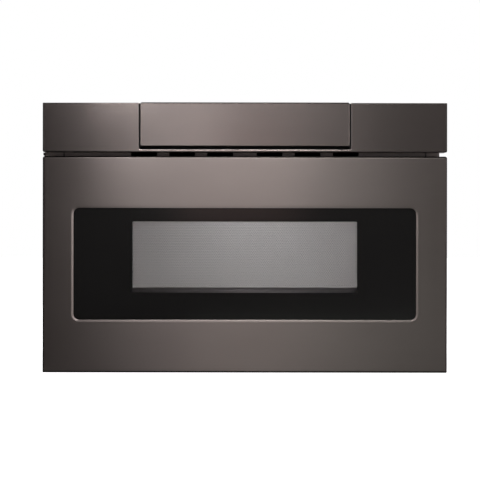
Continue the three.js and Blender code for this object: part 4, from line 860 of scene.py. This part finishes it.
def hexScrew(shell, place, outward):
    p = screw
    turns = [2 * math.pi * k / p["steps"] for k in range(p["steps"])]

    def circle(radius, height):
        return [(radius * math.cos(a), radius * math.sin(a), height) for a in turns]

    def hexagon(size, height):
        reach = [size / math.cos((a + math.pi / 6) % (math.pi / 3) - math.pi / 6) for a in turns]
        return [(r * math.cos(a), r * math.sin(a), height) for a, r in zip(turns, reach)]

    washer, rim, flats, top = (p[key] for key in ("washer", "rim", "flats", "head"))
    inwards, down = p["chamfer"]
    outerDish, innerDish, middle = p["dish"]
    floor = top - p["dishDepth"]
    rings = [circle(washer, -p["sunk"]), circle(washer, p["washerSide"]), circle(washer - inwards, rim)]
    rings += [hexagon(flats, rim + p["collar"]), hexagon(flats, top - down), hexagon(flats - inwards, top)]
    rings += [circle(outerDish, top), circle(innerDish, floor), circle(middle, floor)]
    lean = Vector((0, 0, 1)).rotation_difference(Vector(outward)).to_matrix().to_4x4()
    spin = Matrix.Rotation(sum(place) * p["turn"], 4, "Z")
    move = Matrix.Translation([v * mm for v in place]) @ lean @ spin @ Matrix.Diagonal((mm, mm, mm, 1))
    rings = [[tuple(move @ Vector(point)) for point in ring] for ring in rings]
    shell.rings(rings)
    shell.cap(rings[-1])
    shell.cap(rings[0], flip=True)


def caseFasteners():
    p = caseScrews
    shell = Shell()
    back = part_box("rear_panel")[1][1] / mm
    rear = [(x, z) for x in p["rearAcross"] for z in p["rearRows"]]
    rear += [(x, z) for z in p["edgeRows"] for x in p["rearEdges"]]
    for x, z in rear:
        hexScrew(shell, (x, back, z), (0, 1, 0))
    low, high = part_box("outer_wrap")
    for y in p["sideAlong"]:
        hexScrew(shell, (high[0] / mm, y, p["sideRow"]), (1, 0, 0))
        hexScrew(shell, (low[0] / mm, y, p["sideRow"]), (-1, 0, 0))
    for y in p["topAlong"]:
        for x in p["topAcross"]:
            hexScrew(shell, (x, y, high[2] / mm), (0, 0, 1))
    shell.piece("caseScrews", "chassis", "zinc_steel", [finishes["zinc_steel"]], sharp=25)


# Keys on the control glass: plain digits and the usual symbols, printed in pale ink

keys = {
    "ink": 0.12, "sunk": 0.02, "line": 0.35, "frame": (15.5, 13.5), "digit": 9.0, "pitch": (19, 17),
    "firstDigit": (22, 30), "columns": (-112, -88, -64, -40), "rows": (13, 30), "display": (-18, 8, 10, 33),
    "barHalf": 3, "barLow": -1.6, "barPitch": 2.2, "barTall": 0.8,
}
symbols = {  # outlines round the middle of the key, by its column and row
    (0, 1): ((-2.6, -3), (3.4, 0), (-2.6, 3)),  # start
    (0, 0): ((-2.6, -2.6), (2.6, -2.6), (2.6, 2.6), (-2.6, 2.6)),  # stop
    (1, 1): ((-3, -2), (3, -2), (0, 2.6)),  # more
    (1, 0): ((3, 2), (-3, 2), (0, -2.6)),  # less
}


def keyPrint():
    # The glass slopes, so its largest face gives the plane that the ink lies on.
    p = keys
    source = nodes["touch_glass"].data
    up = max((face for face in source.polygons if face.normal.z > 0.1), key=lambda face: face.area)
    normal = up.normal.copy()
    anchor = source.vertices[up.vertices[0]].co
    spots = [v.co for v in source.vertices if abs((v.co - anchor).dot(normal)) < flatWithin]
    rise = Vector((0, normal.z, -normal.y))  # towards the reader's top when the unit is tilted out
    start = min(spot.dot(rise) for spot in spots)
    origin = anchor - rise * (anchor.dot(rise) - start)
    origin.x = 0
    move = Matrix.Translation(origin) @ Matrix((
        (1, rise.x, normal.x, 0), (0, rise.y, normal.y, 0), (0, rise.z, normal.z, 0), (0, 0, 0, 1),
    )) @ Matrix.Diagonal((mm, mm, mm, 1))
    shell = Shell()

    def plate(outline):
        low, high = ([tuple(move @ Vector((x, y, z))) for x, y in outline] for z in (-p["sunk"], p["ink"]))
        shell.rings([low, high])
        shell.cap(high)
        shell.cap(low, flip=True)

    def bar(left, right, low, high):
        plate([(left, low), (right, low), (right, high), (left, high)])

    def frameLine(x, y, wide, tall):
        line, w, t = p["line"] / 2, wide / 2, tall / 2
        for side in (-1, 1):
            bar(x + side * w - line, x + side * w + line, y - t, y + t)
            bar(x - w, x + w, y + side * t - line, y + side * t + line)

    def digit(text, x, y):
        curve = bpy.data.curves.new("digit", "FONT")
        curve.body = text
        curve.size = p["digit"]
        curve.extrude = p["ink"] / 2
        curve.align_x, curve.align_y = "CENTER", "CENTER"
        item = bpy.data.objects.new("digit", curve)
        bpy.context.collection.objects.link(item)
        bpy.context.view_layer.update()
        mesh = bmesh.new()
        mesh.from_mesh(item.evaluated_get(bpy.context.evaluated_depsgraph_get()).to_mesh())
        bmesh.ops.translate(mesh, vec=(x, y, p["ink"] / 2), verts=mesh.verts)
        shell.take(mesh, move)
        bpy.data.objects.remove(item)
        bpy.data.curves.remove(curve)

    across, upwards = p["pitch"]
    for k, text in enumerate("1234567890"):
        x, y = p["firstDigit"][0] + (k % 5) * across, p["firstDigit"][1] - (k // 5) * upwards
        digit(text, x, y)
        frameLine(x, y, *p["frame"])
    for y in p["rows"]:
        for x in p["columns"]:
            frameLine(x, y, *p["frame"])
    for (column, row), outline in symbols.items():
        plate([(p["columns"][column] + x, p["rows"][row] + y) for x, y in outline])
    # The other two columns show one to three bars.
    for column in (2, 3):
        x = p["columns"][column]
        for row, y in enumerate(p["rows"]):
            for k in range(column - row):
                low = y + p["barLow"] + k * p["barPitch"]
                bar(x - p["barHalf"], x + p["barHalf"], low, low + p["barTall"])
    left, right, low, high = p["display"]
    frameLine((left + right) / 2, (low + high) / 2, right - left, high - low)
    shell.piece("keyPrint", "control_unit", "white_plastic", [keyInk])


caseFasteners()
keyPrint()
print("fasteners and key print made")


# Light, floor and camera

studio = {
    "camera": (-0.0072, -3.494, 0.1986),
    "roll": -0.08,  # degrees, as the photograph was held
    "focal": 160.25,
    "sensor": 36.0,
    "reach": 60,
}
lamps = {  # place, aim, size, power and, where it isn't white, colour
    "key": ((-0.13, -1.5, 0.41), (-0.08, -0.294, 0.3), (0.16, 0.22), 0.0928),
    "middle": ((0.1, -1.5, 0.41), (0.05, -0.294, 0.3), (0.3, 0.22), 0.0384),
    "glassBand": ((-0.01, -1.5, 0.268), (-0.007, -0.294, 0.25), (0.24, 0.035), 0.045, (1, 0.66, 0.62)),
    "upperLeft": ((-0.3, -1.5, 0.7), (-0.18, -0.294, 0.25), (0.2, 0.3), 0.108),
    "upper": ((-0.09, -1.5, 0.7), (-0.06, -0.294, 0.25), (0.22, 0.3), 0.105),
    "high": ((0.15, -1.3, 1.25), (0.09, -0.294, 0.15), (0.3, 0.4), 2.77, (0.98, 1.01, 0.98)),
    "highRight": ((0.65, -1.3, 1.25), (0.39, -0.294, 0.15), (0.3, 0.4), 0.525),
    "near": ((-0.04, -0.72, 0.72), (-0.04, -0.294, 0.3), (0.3, 0.12), 1.15),
    "nearLeft": ((-0.2, -0.6, 0.55), (-0.18, -0.294, 0.3), (0.1, 0.1), 0.18),
    "low": ((0.15, -0.8, 0.03), (0.12, -0.4, 0.15), (0.5, 0.05), 0.0296, (0.93, 1.08, 0.96)),
    "rightSide": ((1.5, -1.7, 0.6), (0.2, -0.294, 0.25), (0.4, 0.6), 4.36),
    "ovenLamp": ((0.02, -0.045, 0.266), (0.02, 0.1, 0.08), (0.2, 0.05), 0.51),
    "top": ((0, 0.3, 2.0), (0, 0.1, 0.3), (1.6, 1.6), 8.5),
    "left": ((-2.0, 1.0, 1.1), (0, 0.1, 0.2), (1.2, 1.2), 14.0),
    "right": ((2.0, 1.0, 1.1), (0, 0.1, 0.2), (1.2, 1.2), 14.0),
    "back": ((0, 2.6, 1.3), (0, 0.2, 0.2), (3.2, 2.0), 11.0),
}


def softLight(name, place, aim, size, power, colour=(1, 1, 1)):
    lamp = bpy.data.lights.new(name, "AREA")
    lamp.shape = "RECTANGLE"
    lamp.size, lamp.size_y = size
    lamp.energy = power
    lamp.color = colour
    item = bpy.data.objects.new(name, lamp)
    item.location = place
    item.rotation_euler = (Vector(aim) - Vector(place)).to_track_quat("-Z", "Y").to_euler()
    item.visible_camera = False
    bpy.context.collection.objects.link(item)


# Soft surround: each line has two levels, then where along its direction the one passes into the other
sky = {
    "beside": (0, 0.3, 0.22, 0.62),
    "above": (0, 0.1, 0.35, 0.8),
    "behind": (0, 0.45, -0.1, 0.45),
    "ahead": (0.02, 0.09, -0.12, 0.16),  # from the left to the right
    "underfoot": (0.5, 1, -0.3, 0),
    "warmth": (1.0, 0.975, 0.965),
}


def studioWorld():
    # Seen directly it is white. What it lights, and what mirrors in the part, is a soft surround
    # that is dim straight ahead of the part and brighter beside, above and behind it.
    world = bpy.data.worlds.new("studio")
    bpy.context.scene.world = world
    world.use_nodes = True
    tree = world.node_tree
    tree.nodes.clear()
    out = tree.nodes.new("ShaderNodeOutputWorld")
    seen = tree.nodes.new("ShaderNodeBackground")
    seen.inputs["Color"].default_value = (1, 1, 1, 1)
    around = tree.nodes.new("ShaderNodeBackground")
    around.inputs["Color"].default_value = (*sky["warmth"], 1)
    where = tree.nodes.new("ShaderNodeTexCoord")
    way = tree.nodes.new("ShaderNodeSeparateXYZ")
    tree.links.new(where.outputs["Generated"], way.inputs["Vector"])
    beside = spread(tree, maths(tree, "ABSOLUTE", way.outputs["X"]), *sky["beside"])
    above = spread(tree, maths(tree, "ABSOLUTE", way.outputs["Z"]), *sky["above"])
    behind = spread(tree, way.outputs["Y"], *sky["behind"])
    ahead = spread(tree, way.outputs["X"], *sky["ahead"])
    level = maths(tree, "ADD", maths(tree, "ADD", beside, above), maths(tree, "ADD", behind, ahead))
    below = spread(tree, way.outputs["Z"], *sky["underfoot"])
    tree.links.new(maths(tree, "MULTIPLY", level, below), around.inputs["Strength"])
    path = tree.nodes.new("ShaderNodeLightPath")
    mix = tree.nodes.new("ShaderNodeMixShader")
    tree.links.new(path.outputs["Is Camera Ray"], mix.inputs["Fac"])
    tree.links.new(around.outputs["Background"], mix.inputs[1])
    tree.links.new(seen.outputs["Background"], mix.inputs[2])
    tree.links.new(mix.outputs["Shader"], out.inputs["Surface"])


ground = {
    "colour": (0.86, 0.86, 0.86), "dull": (0.85, 0.85, 0.85), "bright": (0.88, 0.88, 0.88),
    "roughness": 0.7, "cloud": 2.0, "glow": 0.85,
    "slabs": {  # half its size, its lowest and highest level, and its middle, in metres
        "floor": (20.0, -0.05, -0.0004, (0, 0)),
        "shelf": (0.268, -0.0002, 0.0137, (0, 0.012)),
    },
}


def paleFloor():
    look = ground
    material, tree, surface = newFinish("paleFloor", look["colour"], look["roughness"])
    cloud = noise(tree, look["cloud"])
    drive(tree, surface, "Base Color", blendColours(tree, cloud, look["dull"], look["bright"]))
    surface.inputs["Emission Color"].default_value = (1, 1, 1, 1)
    surface.inputs["Emission Strength"].default_value = look["glow"]
    for name, (half, low, high, middle) in look["slabs"].items():
        mesh = bmesh.new()
        bmesh.ops.create_cube(mesh, size=1)
        bmesh.ops.scale(mesh, vec=(2 * half, 2 * half, high - low), verts=mesh.verts)
        bmesh.ops.translate(mesh, vec=(*middle, (high + low) / 2), verts=mesh.verts)
        data = bpy.data.meshes.new(name)
        mesh.to_mesh(data)
        mesh.free()
        data.materials.append(material)
        item = bpy.data.objects.new(name, data)
        bpy.context.collection.objects.link(item)
        item.visible_glossy = name != "floor"


for name, setting in lamps.items():
    softLight(name, *setting)
studioWorld()
paleFloor()

lens = bpy.data.cameras.new("camera")
lens.lens = studio["focal"]
lens.sensor_width = studio["sensor"]
lens.clip_end = studio["reach"]
viewer = bpy.data.objects.new("camera", lens)
viewer.location = studio["camera"]
viewer.rotation_euler = (math.radians(90), math.radians(studio["roll"]), 0)
bpy.context.collection.objects.link(viewer)
bpy.context.scene.camera = viewer
bpy.context.scene.view_settings.view_transform = "Standard"
print("studio ready")

bpy.context.view_layer.update()
